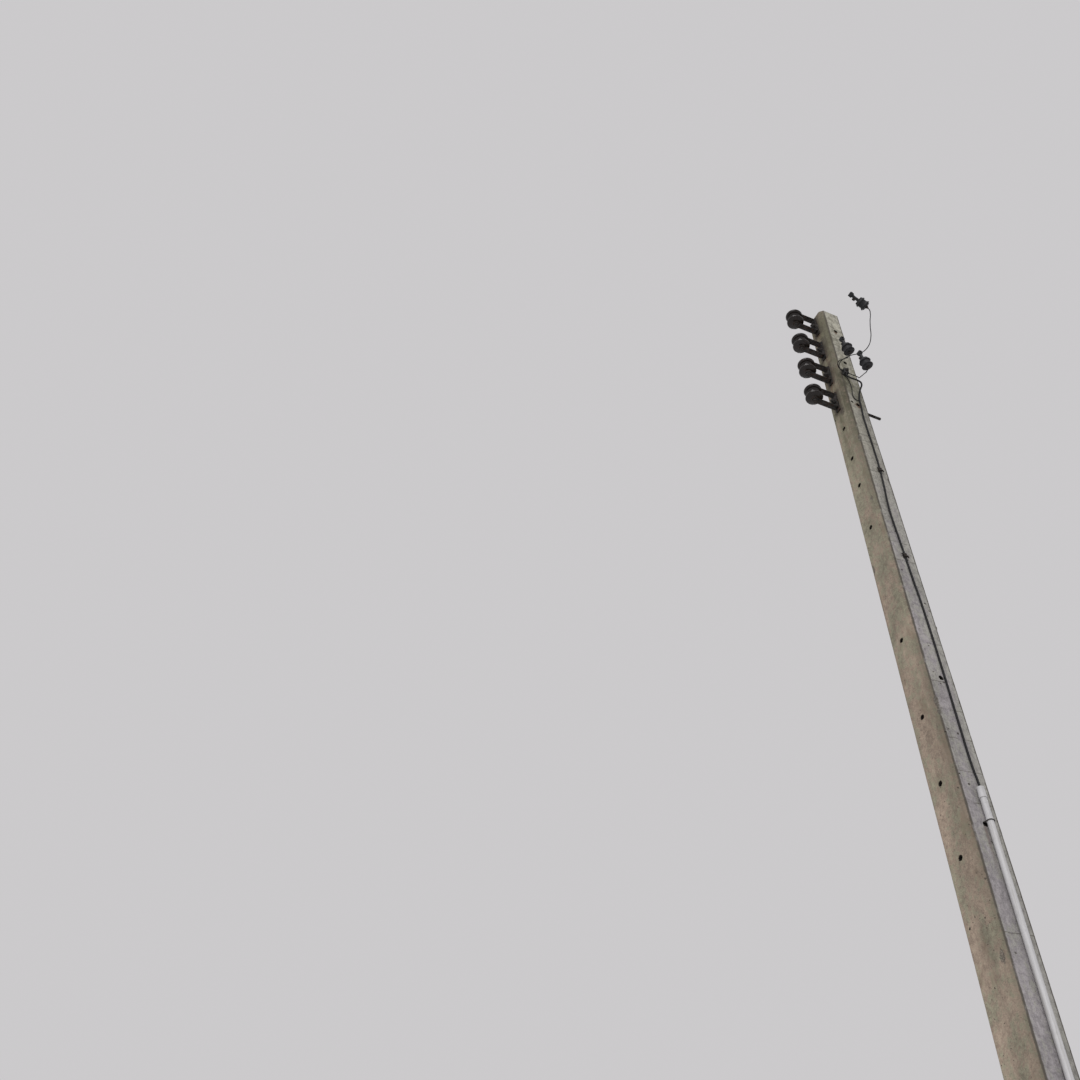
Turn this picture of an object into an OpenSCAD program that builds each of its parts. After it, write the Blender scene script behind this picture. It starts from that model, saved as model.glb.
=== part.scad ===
// Low-voltage street pole: a tapered square concrete post with four spool racks,
// three small surge arresters, an earth lead and its conduit.
// Millimetres. +Z up, origin on the ground at the middle of the post.
// The racks are on the -Y face, the earth lead and its conduit on the +X face.

/* [Post] */
// Height of the post above the ground
post_h = 6700; // [6400:50:8000]
// Width of the square post at its top
post_top_w = 116; // [110:1:140]
// How much wider the post grows in each metre down
post_taper = 11.4; // [8:0.2:15]
// Leg of the chamfer on each corner
chamfer_leg = 17; // [8:1:22]
// Diameter of the holes cast through the post
hole_d = 18; // [16:1:22]

/* [Rack] */
// Drop from the top of the post to the first spool
rack_first_drop = 85; // [80:1:120]
// Distance between spools
rack_pitch = 200; // [180:5:230]
// Width of the flat bar
bar_w = 28; // [26:1:36]
// Thickness of the flat bar
bar_t = 5; // [4:0.5:7]
// Clear distance between the arms
arm_gap = 86; // [82:1:96]
// Height of the back plate
plate_h = 130; // [125:1:160]
// Thickness of the back plate
plate_t = 5; // [4:0.5:7]
// Distance from the post's face at the top rack to the axis of the spools
spool_reach = 125; // [110:1:150]

/* [Spool] */
// Widest diameter of a spool
spool_d = 80; // [74:1:84]
// Height of a spool
spool_h = 76; // [70:1:80]
// Diameter at the bottom of the groove
groove_d = 45; // [40:1:52]
// Radius of the groove
groove_r = 15; // [12:1:16]
// Diameter of the hole through a spool
spool_bore_d = 17.5; // [17:0.5:20]

/* [Fasteners] */
// Diameter of the pin through a spool
pin_d = 13; // [12:1:16]
// Diameter of the bolts through the post
bolt_d = 13; // [10:1:15]
// Length of bolt beyond the back face, upper three racks
bolt_tail = 40; // [35:1:70]
// Length of bolt beyond the back face, lowest rack
bolt_tail_long = 114; // [60:1:160]
// Length of thread beyond the front nut
bolt_front_end = 8; // [4:1:12]
// Thickness of the round and square washers
washer_t = 3; // [2:0.5:5]

/* [Arrester] */
// Diameter of the arrester's sheds
shed_d = 51; // [48:1:58]
// Distance between the sheds
shed_pitch = 26; // [22:1:28]
// Length of the arrester's housing
housing_len = 46; // [42:1:50]
// Diameter of the arrester's core
core_d = 40; // [30:1:42]
// Distance from the line clamp to the middle of the housing
arrester_drop = 66; // [60:1:80]
// Diameter of the leads from the arresters
thin_lead_d = 4; // [3:0.5:6]

/* [Earthing] */
// Diameter of the earth lead
earth_lead_d = 8; // [6:0.5:10]
// Outer diameter of the conduit
conduit_d = 23; // [20:1:26]
// Wall of the conduit and its bell
conduit_wall = 2; // [1.5:0.5:3]
// Drop from the top of the post to the top of the bell
conduit_drop = 2820; // [2780:10:3100]
// Length of the bell
bell_len = 42; // [30:1:60]
// Distance of the conduit from the middle of its face
conduit_side = 8; // [5:1:20]
// Diameter of the tie wires
tie_wire_d = 3; // [2:0.5:4]

/* [Hidden] */

$fn = 48;
eps = 0.01;

// Drops of the free holes below the top of the post, front to back and side to side.
// The lowest side hole takes the conduit's tie wire.
front_hole_drops = [875, 1080, 1255, 1515, 2130, 2490, 2770, 3055];
tie_hole_drop = conduit_drop + 133;
side_hole_drops = [160, 420, 742, 2340, tie_hole_drop];

// Heights and widths along the post
function width_at(z) = post_top_w + post_taper * (post_h - z) / 1000;
function face_at(z) = width_at(z) / 2;
function rack_z(i) = post_h - rack_first_drop - (i - 1) * rack_pitch;
post_base_w = width_at(0);

// Slope of a face, in degrees
face_slope = atan(post_taper / 2000);

// Clearances
seat_gap = 0.3;
pin_hole_gap = 1;
bolt_hole_gap = 2;
nut_gap = 0.6;
bell_gap = 0.4;

// Rack: the back of its plate touches the post at its lower edge
function seat_y(i) = -face_at(rack_z(i) - plate_h / 2);
arm_end = bar_w / 2;
plate_corner_r = 5;
strap_bend_r = 7;

// Spool: rims and ends
rim_r = 9;
rim_slope = 60;
spool_end_r = 24;

// Fasteners
pin_tail = 20;
nut_af = 1.5 * bolt_d;
nut_h = 0.85 * bolt_d;
front_washer_d = 2 * bolt_d;
back_washer = 50;

// Clamp of the earth leads, on the +X face
clamp_drop = 522;
clamp_z = post_h - clamp_drop;
clamp_side = -29;
clamp_w = 24;
clamp_h = 36;
clamp_t = 22;
clamp_corner_r = 5;
clamp_nut_af = 15;
clamp_nut_h = 7;
clamp_bolt_end = 5;

// Line clamps and arresters: middle of each clamp's grip and its tilt towards the post
line_d = 11;
line_y = -(face_at(rack_z(1)) + spool_reach - groove_d / 2 - line_d / 2);
line_places = [
  [358, line_y, post_h - 361], [228, line_y, post_h - 540], [303, line_y, post_h - 744]];
line_tilts = [52, 16, 16];
jaw_len = 20;
jaw_size = [19, 17];
jaw_corner_r = 5;
jaw_bolt_drop = 22;
jaw_bolt_end = 7;
arm_d = 14;
shed_count = 2;
shed_t = 9;
shed_fall = 4;
shed_foot = 5;
stud_len = 12;
stud_d = 8;
stud_nut_h = 6;
small_af = 13;

// The first arrester's lead leaves the end of its stud, the others leave its post side
lead_outs = [[0, seat_gap], [stud_d / 2 + 2 * seat_gap, -3], [stud_d / 2 + 2 * seat_gap, -3]];
function lead_start(i) =
  line_places[i - 1]
  + (arrester_drop + housing_len / 2 + stud_len + lead_outs[i - 1][1])
    * [0, sin(line_tilts[i - 1]), -cos(line_tilts[i - 1])]
  - [lead_outs[i - 1][0], 0, 0];

// Conduit: its bell touches the post, so the pipe stands off by the bell's extra radius
conduit_top = post_h - conduit_drop;
bell_d = conduit_d + 4.5;
flare_d = conduit_d + 2;
flare_h = 16;
bell_step = 15;
function conduit_x(z) = face_at(z) + (bell_d / 2 + seat_gap) / cos(face_slope);
tie_z = post_h - tie_hole_drop + 4;
tie_hook = 30;

// Cords: points with their heights as drops below the top of the post, or, near the clamp,
// below its middle
function from_top(points) = [for (p = points) [p[0], p[1], post_h - p[2]]];
function from_clamp(points) = [for (p = points) [p[0], p[1], clamp_z - p[2]]];

// Earth lead: clear of the post at its loop, then along the face, then down the conduit
cord_sides = 8;
clamp_foot = clamp_h / 2 + seat_gap;
tie_heights = [post_h - 1197, post_h - 1720];
tie_sides = [7, 0];
lead_on_face = [
  [12, clamp_drop + 188], [11, clamp_drop + 228], [5, clamp_drop + 298], [5, 900], [7, 1000],
  [8, 1100], [7, 1197], [2, 1293], [-9, 1460], [-6, 1570], [0, 1720], [3, 1825], [9, 1960],
  [12, 2100], [13, 2300], [12, conduit_drop - 230], [12, conduit_drop - 120]];
earth_route = concat(
  from_clamp([
    [76, -31, clamp_foot], [76, -31, 31], [81, -24, 48], [90, -8, 65], [98, 8, 80],
    [100, 18, 92], [96, 21, 105], [87, 18, 120], [76, 14, 143]]),
  from_top([
    for (p = lead_on_face) [face_at(post_h - p[1]) + earth_lead_d / 2 + seat_gap, p[0], p[1]]]),
  [for (p = [[81, 11, 70], [86, 9, 30]]) [p[0], p[1], conduit_top + p[2]]],
  [for (z = [conduit_top - 20, conduit_top - 180, 0]) [conduit_x(z), conduit_side, z]]);

// Thin loop from the clamp down to the earth lead
bonding_route = from_clamp([
  [66, -22, clamp_foot], [66, -21, 33], [66, -15, 63], [66, -13, 98], [65.5, -16, 133],
  [65.5, -19, 158], [65, -16, 178], [65, -8, 188], [65, 2, 190], [65, 5.5, 190]]);

// Leads from the arresters to the clamp, after their first point at the stud
lead_routes = [
  concat(
    from_top([
      [357, -70, 432], [350, -66, 453], [338, -66, 483], [323, -62, 515], [303, -52, 548],
      [275, -46, 573], [240, -44, 573], [200, -48, 553], [165, -55, 523]]),
    from_clamp([
      [125, -66, -17], [108, -70, -20], [93.5, -71.5, -16.5], [81.5, -68, -9.5],
      [74, -58.5, -3], [71, -41.3, 0]])),
  concat(
    from_top([
      [215, -128.5, 634.2], [206, -127.3, 632], [197.5, -124, 625.5], [188, -118.5, 612.5],
      [176, -110.5, 593.5], [150, -97.5, 558.5], [127.5, -88, 530.5]]),
    from_clamp([
      [112, -84, -8], [99.5, -83, -14.5], [88, -78.5, -15], [79, -71, -12.5],
      [73, -58.5, -9], [71, -41.3, -7.5]])),
  concat(
    from_top([
      [290, -128.5, 838.2], [280.5, -126, 835.7], [271.5, -121, 827.5], [262, -113.5, 812.5],
      [248, -103, 793], [217, -81, 752], [182, -56.5, 706], [147, -32, 660], [130.5, -19, 635]]),
    from_clamp([
      [116, -5.5, 85], [102, 6, 57], [87.5, 6, 29.5], [76, -2, 8.5], [71, -16.7, 0]]))];

// One side of the post, drawn as a trapezium in XZ and run along Y
module taper_prism(top, base, depth) {
  rotate([90, 0, 0])
    linear_extrude(depth, center = true)
      polygon([[-base / 2, 0], [base / 2, 0], [top / 2, post_h], [-top / 2, post_h]]);
}

module post() {
  corner_top = (post_top_w - chamfer_leg) * sqrt(2);
  corner_base = (post_base_w - chamfer_leg) * sqrt(2);
  depth = 2 * post_base_w;
  color("gray")
    difference() {
      intersection() {
        taper_prism(post_top_w, post_base_w, depth);
        rotate([0, 0, 90]) taper_prism(post_top_w, post_base_w, depth);
        rotate([0, 0, 45]) taper_prism(corner_top, corner_base, depth);
        rotate([0, 0, -45]) taper_prism(corner_top, corner_base, depth);
      }
      for (drop = front_hole_drops) cross_hole(post_h - drop, 0);
      for (i = [1:4]) cross_hole(rack_z(i), 0);
      for (drop = side_hole_drops) cross_hole(post_h - drop, 90);
    }
}

module cross_hole(z, turn) {
  translate([0, 0, z])
    rotate([90, 0, turn])
      cylinder(h = 2 * post_base_w, d = hole_d, center = true);
}

// A rectangle with rounded corners, centred
module rounded_plate(size, r) {
  square([size[0] - 2 * r, size[1]], center = true);
  square([size[0], size[1] - 2 * r], center = true);
  for (x = [-1, 1], y = [-1, 1])
    translate([x * (size[0] / 2 - r), y * (size[1] / 2 - r)]) circle(r);
}

// Places its children at a rack: origin on the back of its plate, -Y outwards
module at_rack(i) {
  translate([0, seat_y(i), rack_z(i)]) children();
}

// Flat-bar rack: a back plate with a U strap whose arms hold the spool's pin
module rack_bracket(i) {
  strap_h = arm_gap + 2 * bar_t;
  strap_len = spool_reach + arm_end;
  color("dimgray")
    at_rack(i)
      difference() {
        union() {
          rotate([90, 0, 0])
            linear_extrude(plate_t)
              rounded_plate([bar_w, plate_h], plate_corner_r);
          intersection() {
            translate([0, -plate_t, 0])
              rotate([90, 0, 90])
                linear_extrude(bar_w, center = true)
                  strap_profile(strap_len - plate_t, strap_h);
            linear_extrude(strap_h, center = true) arm_plan();
          }
        }
        translate([0, -spool_reach, 0])
          cylinder(h = 2 * strap_h, d = pin_d + pin_hole_gap, center = true);
        rotate([90, 0, 0])
          cylinder(h = 4 * (plate_t + bar_t), d = bolt_d + bolt_hole_gap, center = true);
      }
}

// Side view of the U strap: web at y = 0, arms running to -Y
module strap_profile(len, height) {
  r = strap_bend_r;
  translate([-len / 2 - r, 0])
    difference() {
      rounded_plate([len + 2 * r, height], r + bar_t);
      translate([-bar_t, 0]) rounded_plate([len + 2 * r, arm_gap], r);
      translate([-len / 2, 0]) square([2 * r, 2 * height], center = true);
    }
}

// Plan of the strap's arms: straight sides and a round end
module arm_plan() {
  translate([-bar_w / 2, -spool_reach]) square([bar_w, spool_reach]);
  translate([0, -spool_reach]) circle(arm_end);
}

// Spool insulator: two bells with a groove between them
module spool(i) {
  color("#2c1c18")
    at_rack(i)
      translate([0, -spool_reach, -(arm_gap - spool_h) / 2])
        rotate_extrude() spool_profile();
}

module spool_profile() {
  rim_x = spool_d / 2 - rim_r;
  rim_z = groove_r + rim_r;
  difference() {
    union() {
      square([2 * rim_x, 2 * rim_z], center = true);
      for (flip = [0, 1])
        mirror([0, flip]) {
          translate([rim_x, rim_z]) circle(rim_r);
          polygon([
            [0, 0], [rim_x, rim_z],
            [rim_x + rim_r * cos(rim_slope), rim_z + rim_r * sin(rim_slope)],
            [spool_end_r, spool_h / 2], [0, spool_h / 2]]);
        }
    }
    translate([groove_d / 2 + groove_r, 0]) circle(groove_r);
    translate([rim_x, -groove_r]) square([spool_d, 2 * groove_r]);
    translate([-spool_d, -spool_h]) square([spool_d + spool_bore_d / 2, 2 * spool_h]);
  }
}

module hexagon(af, h) {
  cylinder(h = h, d = af / cos(30), $fn = 6);
}

// Pin through both arms and the spool, its head above and its nut below
module spool_pin(i) {
  half = arm_gap / 2 + bar_t;
  color("silver")
    at_rack(i)
      translate([0, -spool_reach, 0]) {
        translate([0, 0, -half - pin_tail]) cylinder(h = 2 * half + pin_tail, d = pin_d);
        translate([0, 0, half]) hexagon(1.5 * pin_d, 0.6 * pin_d);
        translate([0, 0, -half - 0.8 * pin_d]) hexagon(1.5 * pin_d, 0.8 * pin_d);
      }
}

// Threaded bolt through the post: its front nut and washer stand in the rack's window
module rack_bolt(i) {
  grip = plate_t + bar_t;
  front = grip + washer_t + nut_h + bolt_front_end;
  tail = i == 4 ? bolt_tail_long : bolt_tail;
  reach = face_at(rack_z(i)) - seat_y(i) + tail;
  color("silver")
    at_rack(i)
      rotate([-90, 0, 0]) {
        translate([0, 0, -front]) cylinder(h = reach + front, d = bolt_d);
        translate([0, 0, -grip - washer_t]) cylinder(h = washer_t, d = front_washer_d);
        translate([0, 0, -grip - washer_t - nut_h]) hexagon(nut_af, nut_h);
      }
}

// Square washer and nut on the back face
module back_nut(i) {
  z = rack_z(i);
  color("silver")
    translate([0, face_at(z - back_washer / 2), z])
      rotate([-90, 0, 0])
        difference() {
          union() {
            translate([-back_washer / 2, -back_washer / 2, 0])
              cube([back_washer, back_washer, washer_t]);
            hexagon(nut_af, washer_t + nut_h);
          }
          cylinder(h = 4 * nut_h, d = bolt_d + nut_gap, center = true);
        }
}

// Parallel-groove clamp that gathers the leads, flat against the post
module earth_clamp() {
  color("dimgray")
    translate([face_at(clamp_z - clamp_h / 2), clamp_side, clamp_z])
      rotate([0, 90, 0]) {
        linear_extrude(clamp_t) rounded_plate([clamp_h, clamp_w], clamp_corner_r);
        hexagon(clamp_nut_af, clamp_t + clamp_nut_h);
        cylinder(h = clamp_t + clamp_nut_h + clamp_bolt_end, d = 8);
      }
}

// A round cord swept along its points, with one ring of corners at each
function unit(v) = v / norm(v);
function headings(points) = [
  for (i = [0:len(points) - 1])
    unit(points[min(i + 1, len(points) - 1)] - points[max(i - 1, 0)])];
function squared(n, t) = unit(n - (n * t) * t);
function carried(t, n, i) =
  i == len(t) ? [] : let (m = squared(n, t[i])) concat([m], carried(t, m, i + 1));

module cord(points, d, start_side) {
  t = headings(points);
  n = carried(t, start_side, 0);
  last = len(points) - 1;
  polyhedron(
    points = [
      for (i = [0:last], k = [0:cord_sides - 1])
        let (a = 360 * k / cord_sides)
          points[i] + d / 2 * (cos(a) * n[i] + sin(a) * cross(t[i], n[i]))],
    faces = concat(
      [[for (k = [cord_sides - 1:-1:0]) k]],
      [for (i = [0:last - 1], k = [0:cord_sides - 1])
        let (a = i * cord_sides, next = (k + 1) % cord_sides)
          [a + k, a + next, a + cord_sides + next, a + cord_sides + k]],
      [[for (k = [0:cord_sides - 1]) last * cord_sides + k]]));
}

module earth_lead() {
  color("black") cord(earth_route, earth_lead_d, [1, 0, 0]);
}

module bonding_loop() {
  color("black") cord(bonding_route, thin_lead_d, [1, 0, 0]);
}

module arrester_lead(i) {
  color("black")
    cord(concat([lead_start(i)], lead_routes[i - 1]), thin_lead_d, [0, 0.5, 0.9]);
}

// Wire staple over a round piece that runs down the +X face: a half ring and two legs
module staple(r_inside, left_leg, right_leg) {
  r = r_inside + tie_wire_d / 2;
  rotate_extrude(angle = 180) translate([r, 0]) circle(d = tie_wire_d, $fn = 24);
  translate([r, 0, 0]) rotate([90, 0, 0]) cylinder(h = right_leg, d = tie_wire_d, $fn = 24);
  translate([-r, 0, 0]) rotate([90, 0, 0]) cylinder(h = left_leg, d = tie_wire_d, $fn = 24);
}

module lead_tie(side, z) {
  reach = earth_lead_d / 2;
  color("dimgray")
    translate([face_at(z) + reach + seat_gap, side, z])
      rotate([0, 0, -90])
        staple(earth_lead_d / 2 + seat_gap, reach, reach);
}

module on_conduit_axis() {
  translate([conduit_x(0), conduit_side, 0]) rotate([0, -face_slope, 0]) children();
}

module conduit() {
  color("lightgray")
    difference() {
      on_conduit_axis()
        difference() {
          union() {
            translate([0, 0, -conduit_d])
              cylinder(h = conduit_top - bell_step + conduit_d, d = conduit_d);
            translate([0, 0, tie_z + tie_wire_d / 2 + seat_gap])
              cylinder(h = flare_h, d1 = flare_d, d2 = conduit_d);
          }
          translate([0, 0, -2 * conduit_d])
            cylinder(h = 2 * conduit_top, d = conduit_d - 2 * conduit_wall);
        }
      translate([0, -conduit_d, -4 * conduit_d]) cube([2 * post_base_w, 4 * conduit_d, 4 * conduit_d]);
    }
}

module conduit_bell() {
  color("lightgray")
    on_conduit_axis()
      translate([0, 0, conduit_top - bell_len])
        difference() {
          cylinder(h = bell_len, d = bell_d);
          translate([0, 0, -eps]) cylinder(h = bell_len + 1, d = conduit_d + bell_gap);
        }
}

// Wire looped over the conduit, one end hooked into the post's side hole
module conduit_tie() {
  x = conduit_x(tie_z);
  off = x - face_at(tie_z);
  color("dimgray")
    translate([x, conduit_side, tie_z])
      rotate([0, 0, -90])
        staple(conduit_d / 2 + seat_gap, off - seat_gap, off + tie_hook);
}

// Places its children at a clamp's grip, -Z along its arrester
module at_line(i) {
  translate(line_places[i - 1]) rotate([line_tilts[i - 1], 0, 0]) children();
}

// Clamp with a round grip that carries the arrester on a short arm
module line_clamp(i) {
  arm = arrester_drop - housing_len / 2;
  color("#20242a")
    at_line(i)
      difference() {
        union() {
          rotate([0, 90, 0])
            linear_extrude(jaw_len, center = true) rounded_plate(jaw_size, jaw_corner_r);
          translate([0, 0, -arm]) cylinder(h = arm, d = arm_d);
          translate([0, 0, -jaw_bolt_drop])
            rotate([0, -90, 0]) hexagon(small_af, arm_d / 2 + jaw_bolt_end);
        }
        rotate([0, 90, 0]) cylinder(h = 2 * jaw_len, d = line_d, center = true);
      }
}

// Surge arrester: housing with two sheds and a stud at its foot
module arrester(i) {
  color("#16181b")
    at_line(i)
      translate([0, 0, -arrester_drop - housing_len / 2]) {
        cylinder(h = housing_len, d = core_d);
        for (k = [0:shed_count - 1])
          translate([0, 0, k * shed_pitch + shed_foot])
            cylinder(h = shed_t, d1 = shed_d, d2 = shed_d - 2 * shed_fall);
        translate([0, 0, -stud_len]) cylinder(h = stud_len, d = stud_d);
        translate([0, 0, -stud_nut_h]) hexagon(small_af, stud_nut_h);
      }
}

post();
rack_bracket(1);  // rack_bracket_1
rack_bracket(2);  // rack_bracket_2
rack_bracket(3);  // rack_bracket_3
rack_bracket(4);  // rack_bracket_4
spool(1);  // spool_1
spool(2);  // spool_2
spool(3);  // spool_3
spool(4);  // spool_4
spool_pin(1);  // spool_pin_1
spool_pin(2);  // spool_pin_2
spool_pin(3);  // spool_pin_3
spool_pin(4);  // spool_pin_4
rack_bolt(1);  // rack_bolt_1
rack_bolt(2);  // rack_bolt_2
rack_bolt(3);  // rack_bolt_3
rack_bolt(4);  // rack_bolt_4
back_nut(1);  // back_nut_1
back_nut(2);  // back_nut_2
back_nut(3);  // back_nut_3
back_nut(4);  // back_nut_4
earth_clamp();
earth_lead();
bonding_loop();
lead_tie(tie_sides[0], tie_heights[0]);  // lead_tie_upper
lead_tie(tie_sides[1], tie_heights[1]);  // lead_tie_lower
conduit();
conduit_bell();
conduit_tie();
line_clamp(1);  // line_clamp_1
line_clamp(2);  // line_clamp_2
line_clamp(3);  // line_clamp_3
arrester(1);  // arrester_1
arrester(2);  // arrester_2
arrester(3);  // arrester_3
arrester_lead(1);  // arrester_lead_1
arrester_lead(2);  // arrester_lead_2
arrester_lead(3);  // arrester_lead_3
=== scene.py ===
import math

import bmesh
import bpy
import numpy as np
from mathutils import Matrix, Vector


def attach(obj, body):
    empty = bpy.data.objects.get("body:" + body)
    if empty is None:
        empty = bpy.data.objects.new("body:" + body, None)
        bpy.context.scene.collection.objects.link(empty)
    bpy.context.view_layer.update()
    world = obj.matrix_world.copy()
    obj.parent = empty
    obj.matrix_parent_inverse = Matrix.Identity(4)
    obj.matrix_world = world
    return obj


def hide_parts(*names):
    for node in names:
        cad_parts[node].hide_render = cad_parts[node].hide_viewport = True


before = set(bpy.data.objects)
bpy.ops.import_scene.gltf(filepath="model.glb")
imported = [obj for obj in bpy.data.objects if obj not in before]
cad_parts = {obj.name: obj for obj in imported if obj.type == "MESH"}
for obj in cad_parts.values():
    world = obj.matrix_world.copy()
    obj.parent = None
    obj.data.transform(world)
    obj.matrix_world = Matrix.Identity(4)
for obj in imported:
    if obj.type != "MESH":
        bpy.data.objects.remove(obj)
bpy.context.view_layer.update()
print("frame loaded:", len(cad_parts), "nodes")

# Camera at the photograph's viewing angle, worked out from the post's edges, holes and racks.
camSet = {
    "place": (2.651, -2.722, 1.478),  # metres from the foot of the post
    "heading": 66.01,                 # degrees, from +Y towards -X
    "pitch": 46.05,                   # degrees above the horizon
    "focalPixels": 1250.0,            # focal length in pixels of the 1080 pixel wide picture
    "pictureWide": 1080.0,
    "sensor": 36.0,
    "clipEnd": 1000.0,
}


def makeCamera(s):
    data = bpy.data.cameras.new("camera")
    data.sensor_width = s["sensor"]
    data.lens = s["focalPixels"] / s["pictureWide"] * s["sensor"]
    data.clip_end = s["clipEnd"]
    cam = bpy.data.objects.new("camera", data)
    bpy.context.scene.collection.objects.link(cam)
    heading, pitch = math.radians(s["heading"]), math.radians(s["pitch"])
    level = math.cos(pitch)
    ahead = Vector((-math.sin(heading) * level, math.cos(heading) * level, math.sin(pitch)))
    right = Vector((math.cos(heading), math.sin(heading), 0))
    up = right.cross(ahead)
    turn = Matrix((right, up, -ahead)).transposed()
    cam.matrix_world = Matrix.Translation(s["place"]) @ turn.to_4x4()
    bpy.context.scene.camera = cam


makeCamera(camSet)


# One output of a node. Arithmetic on it adds Math nodes.
class Wire:
    def __init__(self, shader, socket):
        self.shader = shader
        self.socket = socket

    def maths(self, operation, first, second):
        return self.shader.node("Math", {"operation": operation}, {0: first, 1: second})

    def __add__(self, other):
        return self.maths("ADD", self, other)

    __radd__ = __add__

    def __sub__(self, other):
        return self.maths("SUBTRACT", self, other)

    def __rsub__(self, other):
        return self.maths("SUBTRACT", other, self)

    def __mul__(self, other):
        return self.maths("MULTIPLY", self, other)

    __rmul__ = __mul__

    def __truediv__(self, other):
        return self.maths("DIVIDE", self, other)

    def __rtruediv__(self, other):
        return self.maths("DIVIDE", other, self)

    def __pow__(self, other):
        return self.maths("POWER", self, other)

    def __mod__(self, other):
        return self.maths("FLOORED_MODULO", self, other)

    def __abs__(self):
        return self.maths("ABSOLUTE", self, 0)


# A material with its nodes. Patterns read Object coordinates, in metres.
class Shader:
    def __init__(self, name):
        self.material = bpy.data.materials.new(name)
        self.material.use_nodes = True
        self.tree = self.material.node_tree
        self.surface = self.tree.nodes["Principled BSDF"]
        self.place = self.node("TexCoord", {}, {}, "Object")
        split = self.node("SeparateXYZ", {}, {0: self.place})
        outs = split.socket.node.outputs
        self.x, self.y, self.z = (Wire(self, outs[k]) for k in range(3))

    def node(self, kind, settings, sockets, out=0):
        made = self.tree.nodes.new("ShaderNode" + kind)
        for name, value in settings.items():
            setattr(made, name, value)
        for name, value in sockets.items():
            self.feed(made.inputs[name], value)
        return Wire(self, made.outputs[out])

    def feed(self, socket, value):
        if isinstance(value, Wire):
            self.tree.links.new(value.socket, socket)
        elif hasattr(value, "__len__") and socket.type == "RGBA":
            socket.default_value = tuple(value)[:3] + (1,)
        else:
            socket.default_value = value

    # noise of that many lumps a metre, 0 to 1; a stretch below 1 draws it out along that axis
    def noise(self, lumps, detail=4, rough=0.55, stretch=(1, 1, 1), shift=(0, 0, 0)):
        spot = self.node("Mapping", {}, {"Vector": self.place, "Scale": stretch, "Location": shift})
        sockets = {"Vector": spot, "Scale": lumps, "Detail": detail, "Roughness": rough}
        return self.node("TexNoise", {}, sockets)

    # distance from the nearest of scattered points, and a random number for each point's cell
    def cells(self, lumps, shift=(0, 0, 0)):
        spot = self.node("Mapping", {}, {"Vector": self.place, "Location": shift})
        near = self.node("TexVoronoi", {}, {"Vector": spot, "Scale": lumps})
        chance = self.node("SeparateColor", {}, {0: Wire(self, near.socket.node.outputs["Color"])})
        return near, chance

    # 0 at low, top at high, eased at both ends; low may be the larger
    def level(self, value, low, high, top=1.0):
        return self.node("MapRange", {"interpolation_type": "SMOOTHSTEP"},
                         {"Value": value, "From Min": low, "From Max": high, "To Max": top})

    def mix(self, share, first, second):
        return self.node("Mix", {"data_type": "RGBA"}, {0: share, 6: first, 7: second}, 2)

    # colour times a number
    def tone(self, color, times):
        return self.node("VectorMath", {"operation": "SCALE"}, {0: color, "Scale": times})

    def bump(self, height, deep, strength=1.0):
        return self.node("Bump", {}, {"Height": height, "Distance": deep, "Strength": strength})

    # how far the surface faces up, -1 to 1
    def upward(self):
        normal = self.node("NewGeometry", {}, {}, "Normal")
        parts = self.node("SeparateXYZ", {}, {0: normal})
        return Wire(self, parts.socket.node.outputs[2])

    # value that the mesh stores at its points under that name
    def mark(self, name):
        return self.node("Attribute", {"attribute_name": name}, {}, "Fac")

    def finish(self, **sockets):
        names = {"color": "Base Color", "rough": "Roughness", "metal": "Metallic", "normal": "Normal",
                 "gloss": "Specular IOR Level"}
        for name, value in sockets.items():
            self.feed(self.surface.inputs[names[name]], value)
        return self.material


# Studio: a pale floor that takes the backdrop's colour far off, and two wide soft suns, the stronger
# one on the lead's side.
studio = {
    "floorHalf": 200.0,
    "floorColor": (0.72, 0.715, 0.71),
    "floorRough": 0.9,
    "backdrop": (0.80, 0.785, 0.80),
    "backdropStrength": 0.75,
    "fadeFrom": 12.0,        # metres from the post, where the floor starts to take the backdrop's colour
    "fadeTo": 70.0,
    "suns": [
        # name, direction towards it, strength, angle across in degrees
        ("sideSun", (0.66, -0.52, 0.55), 1.75, 35),
        ("backSun", (-0.60, 0.60, 0.50), 0.8, 35),
    ],
}


# Matt paint near the post, mixed with the backdrop's glow by the distance from the post.
def floorPaint(s):
    m = Shader("floor_paint")
    place = m.node("NewGeometry", {}, {}, "Position")
    away = m.node("VectorMath", {"operation": "LENGTH"}, {0: place}, "Value")
    glow = m.node("Emission", {}, {"Color": s["backdrop"], "Strength": s["backdropStrength"]})
    near = Wire(m, m.surface.outputs[0])
    both = m.node("MixShader", {}, {0: m.level(away, s["fadeFrom"], s["fadeTo"]), 1: near, 2: glow})
    m.feed(m.tree.nodes["Material Output"].inputs["Surface"], both)
    return m.finish(color=s["floorColor"], rough=s["floorRough"])


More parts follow.
